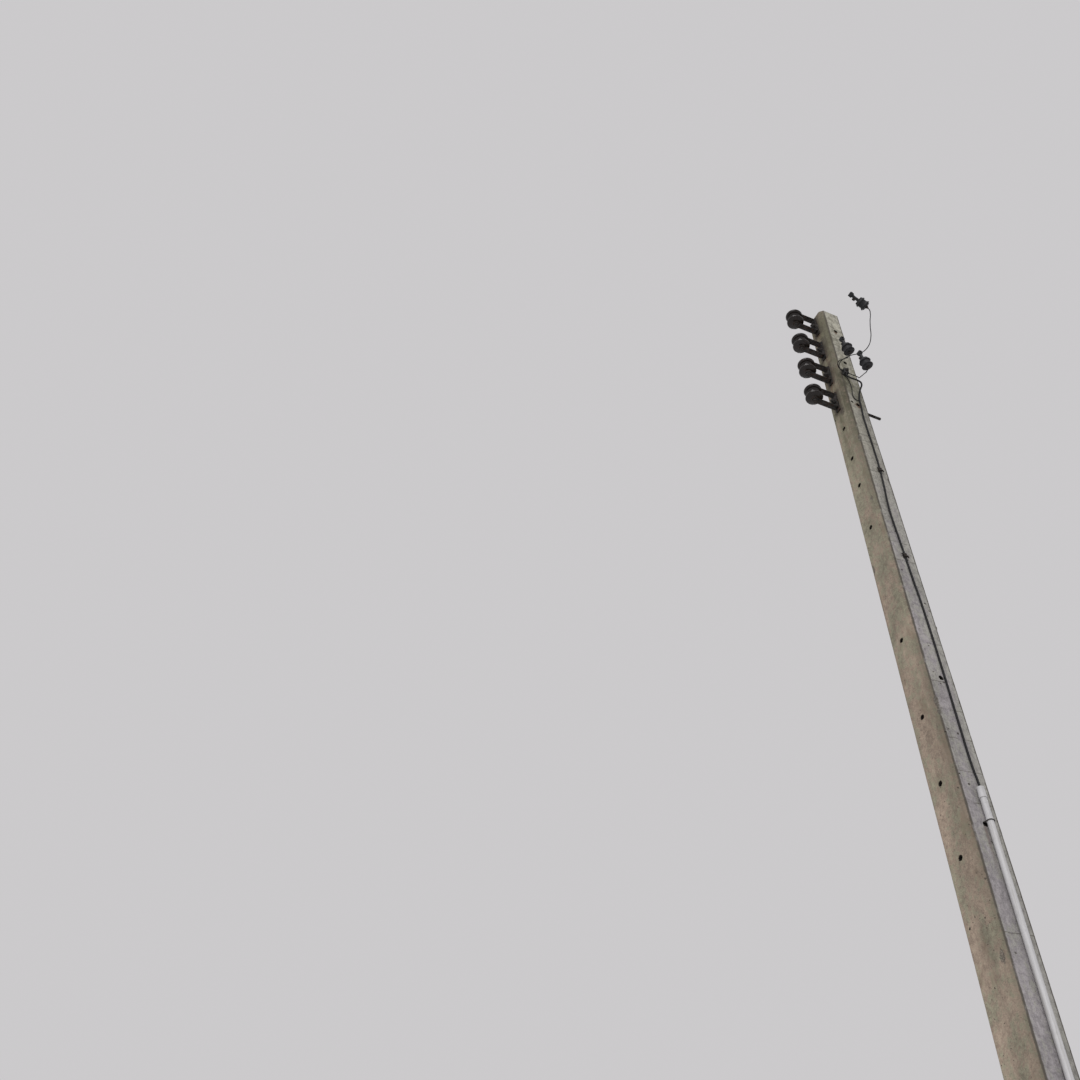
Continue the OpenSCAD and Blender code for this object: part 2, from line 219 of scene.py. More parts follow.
def makeStudio(s):
    scene = bpy.context.scene
    scene.view_settings.view_transform = "Standard"
    world = bpy.data.worlds.new("backdrop")
    world.use_nodes = True
    scene.world = world
    background = world.node_tree.nodes["Background"]
    background.inputs["Color"].default_value = s["backdrop"] + (1,)
    background.inputs["Strength"].default_value = s["backdropStrength"]
    half = s["floorHalf"]
    corners = [(-half, -half, 0), (half, -half, 0), (half, half, 0), (-half, half, 0)]
    mesh = bpy.data.meshes.new("floor")
    mesh.from_pydata(corners, [], [(0, 1, 2, 3)])
    mesh.materials.append(floorPaint(s))
    floor = bpy.data.objects.new("floor", mesh)
    scene.collection.objects.link(floor)
    for name, towards, strength, angle in s["suns"]:
        data = bpy.data.lights.new(name, "SUN")
        data.energy = strength
        data.angle = math.radians(angle)
        lamp = bpy.data.objects.new(name, data)
        scene.collection.objects.link(lamp)
        lamp.rotation_mode = "QUATERNION"
        lamp.rotation_quaternion = Vector(towards).to_track_quat("Z", "Y")


makeStudio(studio)
print("camera and studio ready")


# Faces of a grid whose columns close on themselves: each cell joins its four corners.
# With loop the rows close too, as round a ring.
def gridFaces(rows, cols, loop):
    row = np.arange(rows if loop else rows - 1)[:, None]
    col = np.arange(cols)[None, :]
    below = (row + 1) % rows
    beside = (col + 1) % cols
    corners = [row * cols + col, row * cols + beside, below * cols + beside, below * cols + col]
    return np.stack(np.broadcast_arrays(*corners), -1).reshape(-1, 4)


# A closed shell from a grid of points, rows x columns x 3, with a flat end on the first and last row.
# paint is a material's number, or one for each row.
def shell(points, paint=0, loop=False):
    rows, cols = points.shape[:2]
    quads = gridFaces(rows, cols, loop)
    bands = np.broadcast_to(paint, rows)[: rows if loop else rows - 1]
    paints = np.repeat(bands, cols)
    caps = []
    if not loop:
        caps = [np.arange(cols), np.arange(cols) + (rows - 1) * cols]
        paints = np.append(paints, [bands[0], bands[-1]])
    return {"points": points.reshape(-1, 3), "quads": quads, "caps": caps, "paints": paints}


# Joins shells into one mesh, with outward normals, smooth but for edges sharper than the angle.
def makeMesh(name, shells, paints, sharp=38):
    starts = np.cumsum([0] + [len(s["points"]) for s in shells])
    points = np.concatenate([s["points"] for s in shells])
    bands = np.concatenate([s["paints"] for s in shells]).astype(np.int32)
    faces = []
    for s, start in zip(shells, starts):
        faces += (s["quads"] + start).tolist() + [(cap + start).tolist() for cap in s["caps"]]
    mesh = bpy.data.meshes.new(name)
    mesh.from_pydata(points.tolist(), [], faces)
    mesh.polygons.foreach_set("material_index", bands)
    for paint in paints:
        mesh.materials.append(paint)
    turnOut(mesh)
    smoothed(mesh, sharp)
    mesh.update()
    return mesh


# Smooth shading, but for edges sharper than the angle, in degrees.
def smoothed(mesh, sharp):
    mesh.polygons.foreach_set("use_smooth", np.ones(len(mesh.polygons), bool))
    mesh.set_sharp_from_angle(angle=math.radians(sharp))


# Turns every shell's faces outwards.
def turnOut(mesh):
    work = bmesh.new()
    work.from_mesh(mesh)
    bmesh.ops.recalc_face_normals(work, faces=work.faces)
    work.to_mesh(mesh)
    work.free()


# A finished piece: it rides on the only body and stands for its CAD nodes.
def addPiece(name, mesh, slotName, *nodes):
    piece = bpy.data.objects.new(name, mesh)
    bpy.context.scene.collection.objects.link(piece)
    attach(piece, "root")
    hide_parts(*nodes)
    return piece


# Local points taken into the frame: x, y and z times their directions, plus the origin.
def placed(points, origin, ex, ey, ez):
    return points @ np.array([ex, ey, ez], float) + np.array(origin, float)


# Rounded rectangle of half sizes a by b, a row for each pair of sizes: each quarter of a circle
# sits on a centre moved in from the corner by its radius.
def roundedLoop(a, b, radius, steps=4):
    a, b, radius = np.broadcast_arrays(np.atleast_1d(a), b, radius)
    r = np.minimum(radius, np.minimum(a, b))[:, None]
    quarter = np.repeat(np.arange(4), steps + 1)
    angle = np.radians(quarter * 90 + np.tile(np.linspace(0, 90, steps + 1), 4))
    x = np.array([1, -1, -1, 1])[quarter] * (a[:, None] - r) + r * np.cos(angle)
    y = np.array([1, 1, -1, -1])[quarter] * (b[:, None] - r) + r * np.sin(angle)
    return x, y


# Plate from z = 0 to thick: its outline is taken in by edge x (1 - sin t) while z runs through
# edge x (1 - cos t), and the other way at the top.
def slab(a, b, thick, corner, edge, steps=5):
    t = np.radians([0, 30, 60, 90])
    inset = np.concatenate([edge * (1 - np.sin(t)), edge * (1 - np.sin(t[::-1]))])
    z = np.concatenate([edge * (1 - np.cos(t)), thick - edge * (1 - np.cos(t[::-1]))])
    x, y = roundedLoop(a - inset, b - inset, np.maximum(corner - inset, edge / 2), steps)
    return np.stack([x, y, np.broadcast_to(z[:, None], x.shape)], -1)


# Angles of a ring's points: 2 pi k / cols.
def ringAngles(cols):
    return np.arange(cols) * 2 * np.pi / cols


# Rings about z: x and y are the radius times the cosine and the sine of the angle. The radius is one
# number for each height, or a row of them, one for each angle.
def rings(radius, z, cols):
    angle = ringAngles(cols)
    return np.stack([radius * np.cos(angle), radius * np.sin(angle), z + 0 * radius + 0 * angle], -1)


# Profile of radius and height turned round z.
def revolve(profile, cols=48):
    profile = np.asarray(profile, float)
    return rings(profile[:, :1], profile[:, 1:], cols)


# Arc of a circle in a profile, from one angle to another, in degrees.
def arc(centre, radius, start, stop, count):
    angle = np.radians(np.linspace(start, stop, count))
    return np.stack([centre[0] + radius * np.cos(angle), centre[1] + radius * np.sin(angle)], -1)


# Nut or head from z = 0 to high: its radius is the smaller of the hexagon's and of a 30 degree cone's
# at each end.
def hexNut(across, high, cols=48):
    hexagon = across / 2 / np.cos((ringAngles(cols) + np.pi / 6) % (np.pi / 3) - np.pi / 6)
    endRadius, coneHigh, coneSlope = across * 0.475, across * 0.07, 1.732
    z = np.concatenate([np.linspace(0, coneHigh, 5), np.linspace(high - coneHigh, high, 5)])[:, None]
    cone = endRadius + coneSlope * np.minimum(z, high - z)
    return rings(np.minimum(hexagon, cone), z, cols)


# Rod along z with cut ends. In the threaded stretches its radius falls by
# depth x (1 - cos(turns - angle)) / 2, and it runs out at each end over runOut.
def rod(radius, start, stop, threads=(), pitch=0.002, depth=0.0009, cols=20):
    bevel, runOut, rowsATurn = 0.001, 0.0008, 6
    heights = [start, start + bevel / 2, start + bevel, stop - bevel, stop - bevel / 2, stop]
    for low, high in threads:
        heights += np.linspace(low, high, max(2, int(round((high - low) / pitch * rowsATurn)))).tolist()
    z = np.unique(np.round(heights, 6))[:, None]
    cut = np.zeros_like(z)
    for low, high in threads:
        inside = (z >= low) * (z <= high)
        cut = np.maximum(cut, np.clip(np.minimum(z - low, high - z) / runOut + 1, 0, 1) * inside)
    ends = np.maximum(0, bevel - np.minimum(z - start, stop - z))
    wound = 1 - np.cos(2 * np.pi * z / pitch - ringAngles(cols))
    return rings(radius - ends - depth * cut * wound / 2, z, cols)


# Smooth curve through points: on each stretch a cubic that meets its neighbours with one direction,
# the mean of the directions before and after, each weighed by the other's length.
def smoothPath(points, steps):
    p = np.asarray(points, float)
    gap = np.linalg.norm(np.diff(p, axis=0), axis=1)[:, None]
    slope = np.diff(p, axis=0) / gap
    inner = (gap[1:] * slope[:-1] + gap[:-1] * slope[1:]) / (gap[1:] + gap[:-1])
    first = 1.5 * slope[:1] - 0.5 * inner[:1]
    last = 1.5 * slope[-1:] - 0.5 * inner[-1:]
    m = np.concatenate([first, inner, last])
    t = (np.arange(steps) / steps)[None, :, None]
    a, b, h = p[:-1, None], p[1:, None], gap[:, None]
    curve = (2 * t**3 - 3 * t**2 + 1) * a + (t**3 - 2 * t**2 + t) * h * m[:-1, None]
    curve = curve + (3 * t**2 - 2 * t**3) * b + (t**3 - t**2) * h * m[1:, None]
    return np.concatenate([curve.reshape(-1, 3), p[-1:]])


# Each point's direction along a path, of length 1.
def headings(path):
    heading = np.gradient(path, axis=0)
    return heading / np.linalg.norm(heading, axis=1)[:, None]


# Two directions square to the path and to each other; the first is square to the side direction too.
def squareTo(heading, side):
    across = np.cross(heading, np.asarray(side, float))
    across = across / np.linalg.norm(across, axis=1)[:, None]
    return across, np.cross(heading, across)


# Round tube along a path: each ring stands square to the path, at cos(angle) times one of the two
# directions square to it plus sin(angle) times the other.
def tube(path, radius, side, cols=12):
    across, along = squareTo(headings(path), side)
    angle = ringAngles(cols)[:, None]
    ring = across[:, None] * np.cos(angle) + along[:, None] * np.sin(angle)
    return path[:, None] + radius * ring


# Smooth noise between 0 and 1: random values on a lattice, eased by 3t^2 - 2t^3 from one to the next.
def lattice(seed, x, y):
    table = np.random.default_rng(seed).random((257, 257))
    x, y = np.broadcast_arrays(x, y)
    cx, cy = np.floor(x).astype(int), np.floor(y).astype(int)
    fx, fy = x - cx, y - cy
    fx = fx * fx * (3 - 2 * fx)
    fy = fy * fy * (3 - 2 * fy)
    near = table[cx % 256, cy % 256] * (1 - fx) + table[(cx + 1) % 256, cy % 256] * fx
    far = table[cx % 256, (cy + 1) % 256] * (1 - fx) + table[(cx + 1) % 256, (cy + 1) % 256] * fx
    return near * (1 - fy) + far * fy


# Post: a square that widens downwards, with chamfered corners, worn arrises and holes with broken lips.
post = {
    "height": 6.7,
    "topWidth": 0.116,
    "taper": 0.0114,         # wider for each metre down
    "chamfer": 0.017,
    "arris": 0.008,          # rounding radius of the arrises
    "arrisReach": 0.414,     # tangent of 22.5 degrees: how far the rounding reaches, in radii
    "arrisDepth": 0.082,     # 1 / cosine of 22.5 degrees - 1: how deep it cuts, in radii
    "coarseStep": 0.022,     # between rows up to fineFrom
    "fineStep": 0.008,       # above it
    "fineFrom": 3.0,
    "fineStop": 0.012,       # below the top
    "topRows": [0.010, 0.006, 0.003, 0.001, 0],
    "endSteps": [0, 0.0015, 0.0035],           # columns close to an arris
    "faceCells": 10,         # even columns between them on a face, and on a chamfer
    "chamferCells": 4,
    "wave": 0.0007,          # how far the skin falls back in its hollows
    "grain": 0.0004,
    "wear": 0.0022,          # how deep the small knocks in the arrises go
    "wearReach": 0.006,
    "topTurn": (0.006, 0.0035),                # height and depth of the turn at the top edge
    "lidRings": [0.93, 0.82, 0.66, 0.48, 0.30, 0.12],
    "topWave": (0.0006, 0.0028),               # how far the top's skin rises and falls in its waves
    "holeRadius": 0.009,
    "lip": 0.0028,           # how far a hole's lip is broken away
    "lipDeep": 0.007,        # how deep the broken lip reaches
    "rackDrop": 0.085,       # of the first rack's bolt
    "rackPitch": 0.2,
    "racks": 4,
    "frontHoles": [0.875, 1.080, 1.255, 1.515, 2.130, 2.490, 2.770, 3.055],
    "sideHoles": [0.160, 0.420, 0.742, 2.340, 2.953],
    "deepPit": (-0.030, 0.734, 0.007, 0.03),   # on the lead's face: side, drop, radius, depth
    # large knocks: arris, drop, half length, depth, reach; arris 0 is +X's at its -Y side, then on round
    "knocks": [
        (5, 0.0, 0.034, 0.020, 0.030), (6, 0.0, 0.036, 0.022, 0.034),
        (0, 0.995, 0.028, 0.006, 0.012), (0, 2.460, 0.030, 0.006, 0.012), (0, 2.506, 0.022, 0.005, 0.011),
        (7, 1.380, 0.020, 0.004, 0.009), (6, 1.720, 0.034, 0.005, 0.011), (1, 1.240, 0.022, 0.005, 0.010),
        (2, 0.0, 0.016, 0.008, 0.014), (7, 3.420, 0.030, 0.005, 0.010), (3, 2.050, 0.040, 0.006, 0.012),
        (4, 0.640, 0.028, 0.006, 0.012), (5, 2.870, 0.036, 0.006, 0.012), (0, 4.610, 0.026, 0.004, 0.009),
        (6, 5.280, 0.030, 0.005, 0.010), (2, 4.130, 0.024, 0.004, 0.009), (7, 6.350, 0.028, 0.004, 0.009),
        (1, 6.180, 0.030, 0.005, 0.010), (4, 5.950, 0.026, 0.004, 0.009)],
    "nub": (2, 2.062, 0.010, 0.008, 0.0045),   # arris, drop, half length, reach, how far it stands out
    "goneMark": (0.0016, 0.0035),              # depth at which the skin counts as broken, and over which
    "goneBelow": 0.0045,     # below the top
    "boreMark": (0.0008, 0.0022),
    "boreReach": 1.35,       # in hole radii
}
rackDrops = [round(post["rackDrop"] + post["rackPitch"] * k, 3) for k in range(post["racks"])]


# From the post's axis to its face at a height.
def faceAt(z):
    return (post["topWidth"] + post["taper"] * (post["height"] - z)) / 2


# Distances from one arris to the next: close steps at both ends, even ones between.
def alongEdge(s, length, inner):
    near = np.array(s["endSteps"])
    even = near[-1] + (length[:, None] - 2 * near[-1]) * np.arange(1, inner) / inner
    return np.concatenate([near + 0 * length[:, None], even, length[:, None] - near[:0:-1]], 1)


# Depth beside one arris, added to what is there: small knocks by chance, and the large ones, each a tent
# of its half length and reach with its top cut off, times a rough factor; the nub stands out instead.
def arrisWear(s, inward, arris, z, away):
    drop, rows = s["height"] - z, z[:, None]
    chance = lattice(43 + arris, rows * 38, 0 * away + 0.5)
    small = np.clip((chance - 0.62) / 0.38, 0, 1) * np.clip(1 - away / s["wearReach"], 0, 1)
    inward = inward + s["wear"] * small
    for knocked, middle, half, deep, reach in s["knocks"]:
        if knocked == arris:
            far = np.abs(drop - middle) / half * (0.8 + 0.4 * lattice(91, z * 60, away[:, 0] * 200))
            tent = np.clip(1 - far[:, None], 0, 1) * np.clip(1 - away / reach, 0, 1)
            rough = 0.75 + 0.5 * lattice(61, rows * 90, away * 140)
            inward = inward + deep * np.minimum(tent * 1.5, 1) * rough
    nubbed, middle, half, reach, out = s["nub"]
    if nubbed == arris:
        near = np.hypot((drop - middle)[:, None] / half, away / reach)
        inward = inward - out * np.clip(1 - near, 0, 1) ** 0.5
    return inward


# One side of the skin at each height, with how far each of its points is pushed in and which way: square
# to the side, and leaning to the next side's direction near an arris. The depth is the arris's rounding,
# depth x (1 - distance / reach)^2, plus waves, grain and wear.
def skinSide(s, edge, z, corner, ahead, length, outward):
    run = alongEdge(s, length, s["faceCells"] if edge % 2 == 0 else s["chamferCells"])
    back = length[:, None] - run
    near = np.minimum(run, back)
    before, after = outward[:, edge - 1, None], outward[:, (edge + 1) % 8, None]
    lean = np.clip(1 - near / s["endSteps"][-1], 0, 1)[..., None]
    face = outward[:, edge, None] + lean * np.where((run < back)[..., None], before, after)
    face = face / np.linalg.norm(face, axis=2)[..., None]
    rows = z[:, None]
    inward = s["arrisDepth"] * s["arris"] * np.clip(1 - near / (s["arrisReach"] * s["arris"]), 0, 1) ** 2
    inward = inward + s["wave"] * lattice(3 + edge, rows * 4, run * 25)
    inward = inward + s["grain"] * lattice(23 + edge, rows * 45, run * 90)
    inward = arrisWear(s, inward, edge, z, run)
    inward = arrisWear(s, inward, (edge + 1) % 8, z, back)
    return corner[:, None] + ahead[:, None] * run[..., None], face * inward[..., None]


# Post's skin: at each height eight sides join eight arrises, which lie a chamfer from the square's corners.
def postSkin(s):
    high = s["height"]
    z = np.concatenate([np.arange(0, s["fineFrom"], s["coarseStep"]),
                        np.arange(s["fineFrom"], high - s["fineStop"], s["fineStep"]),
                        high - np.array(s["topRows"])])
    w = faceAt(z)
    signs = np.array([[1, -1], [1, 1], [1, 1], [-1, 1], [-1, 1], [-1, -1], [-1, -1], [1, -1]])
    cuts = np.array([[0, 1], [0, -1], [-1, 0], [1, 0], [0, -1], [0, 1], [1, 0], [-1, 0]])
    corners = w[:, None, None] * signs + s["chamfer"] * cuts
    ahead = np.roll(corners, -1, axis=1) - corners
    length = np.linalg.norm(ahead, axis=2)
    ahead = ahead / length[:, :, None]
    outward = np.stack([ahead[..., 1], -ahead[..., 0]], -1)
    sides = [skinSide(s, k, z, corners[:, k], ahead[:, k], length[:, k], outward) for k in range(8)]
    spots, pushes = (np.concatenate([side[k] for side in sides], 1) for k in (0, 1))
    flat = spots - pushes
    # the top edge turns in over its last rows, then rings run to the middle of the top
    turnHigh, turnDeep = s["topTurn"]
    turn = np.clip(1 - (high - z) / turnHigh, 0, 1) ** 2 * turnDeep
    flat = flat * (1 - turn / w)[:, None, None]
    skin = np.concatenate([flat, np.broadcast_to(z[:, None, None], flat.shape[:2] + (1,))], 2)
    middle = skin[-1].mean(0)
    lids = middle + (skin[-1] - middle) * np.array(s["lidRings"])[:, None, None]
    rise, fall = s["topWave"]
    lids[..., 2] += rise - fall * lattice(77, lids[..., 0] * 45 + 9, lids[..., 1] * 45 + 9)
    lids[..., 2] = np.minimum(lids[..., 2], high)
    return np.concatenate([skin, lids])


# A hole's cutter along local z: its radius is the hole's, plus lip x (how far into the lip)^2 x a ragged
# factor near both faces.
def holeCutter(s, drop, seed, cols=28):
    w = faceAt(s["height"] - drop)
    half = np.array([-w - 0.03, -w - 0.0012, -w + 0.001, -w + 0.0032, -w + s["lipDeep"]])
    z = np.concatenate([half, [0], -half[::-1]])[:, None]
    angle = ringAngles(cols)
    ragged = 0.3 + 1.1 * lattice(seed, 4 + 3 * np.cos(angle) + 0 * z, 4 + 3 * np.sin(angle) + np.sign(z))
    inLip = np.clip((np.abs(z) - w + s["lipDeep"]) / s["lipDeep"], 0, 1.25)
    return rings(s["holeRadius"] + s["lip"] * inLip ** 2 * ragged, z, cols)


# Cutters of all the holes, each laid along its axis, and of the pit, a small ragged cone.
def postCutters(s):
    fronts, sides = rackDrops + s["frontHoles"], s["sideHoles"]
    cutters = []
    for k, drop in enumerate(fronts):
        origin = (0, 0, s["height"] - drop)
        cutters.append(placed(holeCutter(s, drop, 100 + k), origin, (1, 0, 0), (0, 0, 1), (0, 1, 0)))
    for k, drop in enumerate(sides):
        origin = (0, 0, s["height"] - drop)
        cutters.append(placed(holeCutter(s, drop, 200 + k), origin, (0, 1, 0), (0, 0, 1), (1, 0, 0)))
    side, drop, radius, deep = s["deepPit"]
    pit = revolve([(radius * 0.3, -deep), (radius * 0.8, 0.004 - deep), (radius * 0.9, -0.006),
                   (radius, -0.002), (radius * 1.2, 0.001), (radius * 1.2, 0.02)], 20)
    origin = (faceAt(s["height"] - drop), side, s["height"] - drop)
    cutters.append(placed(pit, origin, (0, 1, 0), (0, 0, 1), (1, 0, 0)))
    return [shell(points) for points in cutters]


# The post: its skin with the cutters taken out of it, marked where it is worn.
def makePost(s, paint):
    skin = makeMesh("post_skin", [shell(postSkin(s))], [paint])
    body = bpy.data.objects.new("post_body", skin)
    tools = bpy.data.objects.new("cutters", makeMesh("cutters", postCutters(s), []))
    for item in (tools, body):
        bpy.context.scene.collection.objects.link(item)
    cut = body.modifiers.new("holes", "BOOLEAN")
    cut.operation = "DIFFERENCE"
    cut.object = tools
    for solver in ("MANIFOLD", "EXACT"):      # the slower one only if the first leaves the skin uncut
        cut.solver = solver
        seen = bpy.context.evaluated_depsgraph_get()
        done = bpy.data.meshes.new_from_object(body.evaluated_get(seen))
        if len(done.polygons) > len(skin.polygons):
            break
    done.name = "post_skin_cut"
    for item in (tools, body):
        bpy.data.objects.remove(item)
    smoothed(done, 40)
    markWear(s, done)
    return done


# Two marks. "gone" is how far a point lies inside the whole post, 1 where 5 mm or more is broken away:
# its least distance from the planes of the sides and the top. "bore" is 1 on the walls of the holes,
# near whose axes it lies.
def markWear(s, mesh):
    co = np.empty(len(mesh.vertices) * 3)
    mesh.vertices.foreach_get("co", co)
    x, y, z = co.reshape(-1, 3).T
    w, drop = faceAt(z), s["height"] - z
    corner = (2 * w - s["chamfer"] - np.abs(x) - np.abs(y)) / math.sqrt(2)
    deep = np.minimum(np.minimum(w - np.abs(x), w - np.abs(y)), corner)
    deep = np.minimum(deep, drop)
    least, over = s["goneMark"]
    gone = np.clip((deep - least) / over, 0, 1) * (z < s["height"] - s["goneBelow"])
    fronts = [np.hypot(x, drop - hole) for hole in rackDrops + s["frontHoles"]]
    sides = [np.hypot(y, drop - hole) for hole in s["sideHoles"]]
    pit = np.hypot(y - s["deepPit"][0], drop - s["deepPit"][1]) + 9 * (x < 0)
    near = np.min(fronts + sides + [pit], axis=0)
    least, over = s["boreMark"]
    bore = np.clip((deep - least) / over, 0, 1) * (near < s["holeRadius"] * s["boreReach"])
    for name, values in (("gone", gone * (1 - bore)), ("bore", bore)):
        mesh.attributes.new(name, "FLOAT", "POINT")
        mesh.attributes[name].data.foreach_set("value", values.astype(np.float32))


# Weathered concrete: tan with pink and green patches on the rack face and its chamfers, a cooler grey on
# the lead's face, mottled, streaked by rain, pitted, with a dark mould seam along the arrises, faint
# lines across, rust under the racks and round some holes, and green-brown growth near the top.
# Painted shade darkens the chamfers, the rack face towards its outer arrises, the face round the racks'
# plates along with soot, the pits and the holes' walls; painted light brightens the rack face's side away
# from the lead.
concrete = {
    "tan": (0.305, 0.240, 0.186),
    "green": (0.216, 0.200, 0.146),
    "lilac": (0.318, 0.296, 0.304),
    "cool": (0.284, 0.276, 0.252),
    "margin": (0.296, 0.290, 0.262),
    "cream": (0.302, 0.288, 0.240),
    "otherWarm": (0.246, 0.216, 0.178),
    "otherCool": (0.206, 0.198, 0.168),
    "growth": (0.150, 0.142, 0.086),
    "stain": (0.150, 0.112, 0.072),
    "soil": (0.120, 0.092, 0.064),
    "flake": (0.400, 0.385, 0.320),
    "grime": (0.062, 0.053, 0.041),
    # soot, also laid as painted shade round the racks' plates
    "soot": (0.050, 0.038, 0.034),
    "rust": (0.098, 0.050, 0.028),
    "broken": (0.300, 0.284, 0.262),
    # near black: painted shade on the holes' walls and in the large pits' middles
    "hole": (0.010, 0.008, 0.006),
    "sootSpot": (0.018, 0.768),          # on the rack face: side, drop
    # on the lead's face: side, drop, half width, half height
    "growthClump": (-0.037, 0.600, 0.011, 0.046),
    "rustUnderHole": (-0.002, 0.170, 0.011, 0.020),
    "ringRoundHole": (0.0, 0.748, 0.021, 0.022),
    # drops of the lines that cross the lead's face
    "crossLines": [0.964, 1.008, 1.208, 1.642, 1.746, 2.176, 2.360, 2.486, 2.612, 2.750, 2.876, 3.340, 3.910,
                   4.520, 5.260, 5.980],
}


# Shares of the post's faces, 0 to 1, and the patterns that its layers of colour have in common.
class PostShader(Shader):
    def __init__(self, name):
        super().__init__(name)
        chamfer = post["chamfer"]
        w = (post["height"] - self.z) * (post["taper"] / 2) + post["topWidth"] / 2
        self.drop = post["height"] - self.z
        self.inX, self.inY = w - abs(self.x), w - abs(self.y)
        self.onRacks = self.level(self.y + w, 0.0035, 0.0015)
        self.rackSide = self.level(self.y + w, chamfer + 0.0010, chamfer - 0.0010)    # its chamfers too
        self.onLead = self.level(w - self.x, 0.0035, 0.0015)
        self.bevel = self.level(self.inX + self.inY, chamfer + 0.0085, chamfer + 0.0015)
        self.clouds = self.noise(4.5, 6, 0.62, stretch=(1, 1, 0.6))
        self.patch = self.noise(16, 6, 0.66, stretch=(1, 1, 0.55), shift=(2, 5, 1))
        self.blot = self.noise(62, 5, 0.68, stretch=(1, 1, 0.8), shift=(6, 1, 3))
        self.speckle = self.noise(210, 4, 0.7)
        self.grit = self.noise(620, 2, 0.6, shift=(3, 1, 0))
        self.ragged = self.noise(60, 4, 0.7, stretch=(1, 1, 0.12), shift=(2, 0, 1))


# How far from a spot's middle on the lead's face: |side| / half width + |drop| / half height.
def fromSpot(m, spot):
    side, low, wide, high = spot
    return abs(m.y - side) / wide + abs(m.drop - low) / high


# The rack face is greener towards the top and tanner below, the lead's face cream towards the top.
def faceColors(m, s):
    tint = m.level(m.patch * 0.55 + m.blot * 0.45 - m.level(m.drop, 0.6, 3.2, 0.065), 0.40, 0.52)
    color = m.mix(tint, s["otherWarm"], s["otherCool"])
    color = m.mix(m.rackSide, color, m.mix(tint, s["tan"], s["green"]))
    lead = m.mix(tint, s["lilac"], s["cool"])
    lead = m.mix(m.level(m.drop + (m.patch - 0.5) * 0.8, 1.7, 0.9, 0.75), lead, s["cream"])
    aside = m.level(m.y + (m.patch - 0.5) * 0.08 + (m.blot - 0.5) * 0.04, 0.0, 0.045)
    lead = m.mix(aside * 0.8, lead, s["margin"])
    return m.mix(m.onLead, color, lead)


# Growth on the top metre, most at the very top, with bare flakes in it, and a clump on the lead's face.
def growthOver(m, s, color):
    growth = m.level(m.noise(17, 6, 0.65, shift=(1, 8, 4)) + m.level(m.drop, 0.7, 0.0) * 0.10, 0.42, 0.62)
    share = growth * m.level(m.drop, 1.5, 0.15, 0.62) * (1 - m.onLead * 0.45)
    color = m.mix(share, color, s["growth"])
    under = m.level(m.drop + (m.blot - 0.5) * 0.10, 0.34, 0.48) * m.level(m.drop, 0.86, 0.60) * m.onLead
    color = m.mix(under * m.level(m.patch, 0.34, 0.60, 0.75), color, m.tone(s["growth"], 0.75))
    bare = m.noise(34, 5, 0.62, shift=(7, 3, 8)) + m.level(m.drop, 0.42, 0.16, 0.10)
    clump = fromSpot(m, s["growthClump"]) + (m.blot - 0.5) * 1.6
    color = m.mix(m.level(clump, 1.4, 0.4, 0.6) * m.onLead, color, m.tone(s["growth"], 0.50))
    flakes = m.level(bare, 0.53, 0.60) * m.onLead * m.level(m.drop, 0.62, 0.30)
    return m.mix(flakes * 0.85, color, s["flake"])


# Mottled light and dark: clouds, blots and speckle, a darker lower part of the lead's face, and painted
# light on the rack face's side away from the lead.
def mottleOver(m, color):
    tone = m.level(m.clouds, 0.30, 0.70, 0.26) + m.level(m.blot, 0.34, 0.66, 0.42)
    tone = tone + m.level(m.speckle, 0.32, 0.68, 0.30)
    tone = tone + 0.47
    tone = tone * (1 - m.onLead * m.level(m.drop, 2.2, 3.2, 0.14))
    # painted light: the rack face's side away from the lead is lighter, below a drop of about a metre
    far = m.level(m.x, 0.020, -0.050, 0.16) * m.level(m.drop, 0.80, 1.10)
    tone = tone * (1 + far * m.rackSide)
    return m.tone(color, tone)


# Rain: thin streaks and wide runs down each face, stronger towards the top, and brown stains.
def rainOver(m, s, color):
    streaks = m.level(m.noise(48, 4, 0.6, stretch=(1, 1, 0.022)), 0.50, 0.70)
    wash = m.level(m.noise(17, 4, 0.6, stretch=(1, 1, 0.05), shift=(7, 2, 3)), 0.46, 0.72)
    dirt = (streaks * 0.26 + wash * 0.24) * m.level(m.drop, 4.2, 0.1, 0.6) + (streaks + wash) * 0.10
    color = m.mix(dirt, color, s["grime"])
    brown = m.level(m.noise(11, 6, 0.7, stretch=(1, 1, 0.45), shift=(4, 9, 2)), 0.52, 0.66) * m.rackSide
    return m.mix(brown * m.level(m.speckle, 0.30, 0.60, 0.50), color, s["stain"])


# Painted shade: darker chamfers, and a rack face that darkens towards its outer arrises, less between two of
# its holes and on the side away from the lead. Moss grows on the chamfer between the two faces.
def edgesOver(m, s, color):
    # painted shade: the colour darkened and tinted green, laid on the chamfers and the rack face's outer
    # strips
    shaded = m.mix(0.30, m.tone(color, 0.52), m.tone(s["green"], 0.50))
    share = m.bevel * (1 - m.rackSide) * (m.level(m.blot, 0.42, 0.60, 0.30) + 0.50)
    color = m.mix(share, color, shaded)
    shade = m.level(m.inX + (m.patch - 0.5) * 0.030, 0.034, 0.004) * m.rackSide
    shade = shade * (m.level(m.blot, 0.40, 0.62, 0.24) + 0.56)
    shade = shade * (1 - m.level(m.drop, 1.30, 1.55) * m.level(m.drop, 2.25, 2.05, 0.62))
    away = m.level(m.x + (m.patch - 0.5) * 0.04, 0.012, -0.040) * m.level(m.drop, 0.80, 1.10) * m.rackSide
    shade = shade * (1 - away * 0.75)
    color = m.mix(shade, color, shaded)
    moss = m.bevel * m.level(m.x - m.y, 0.0, 0.05)
    moss = moss * m.level(m.drop + (m.patch - 0.5) * 0.2, 0.46, 0.56)
    moss = moss * m.level(m.drop + (m.blot - 0.5) * 0.3, 1.25, 0.62)
    share = moss * m.level(m.blot, 0.30, 0.60, 0.85)
    return m.mix(share, color, m.mix(0.6, m.tone(color, 0.45), m.tone(s["growth"], 0.45)))


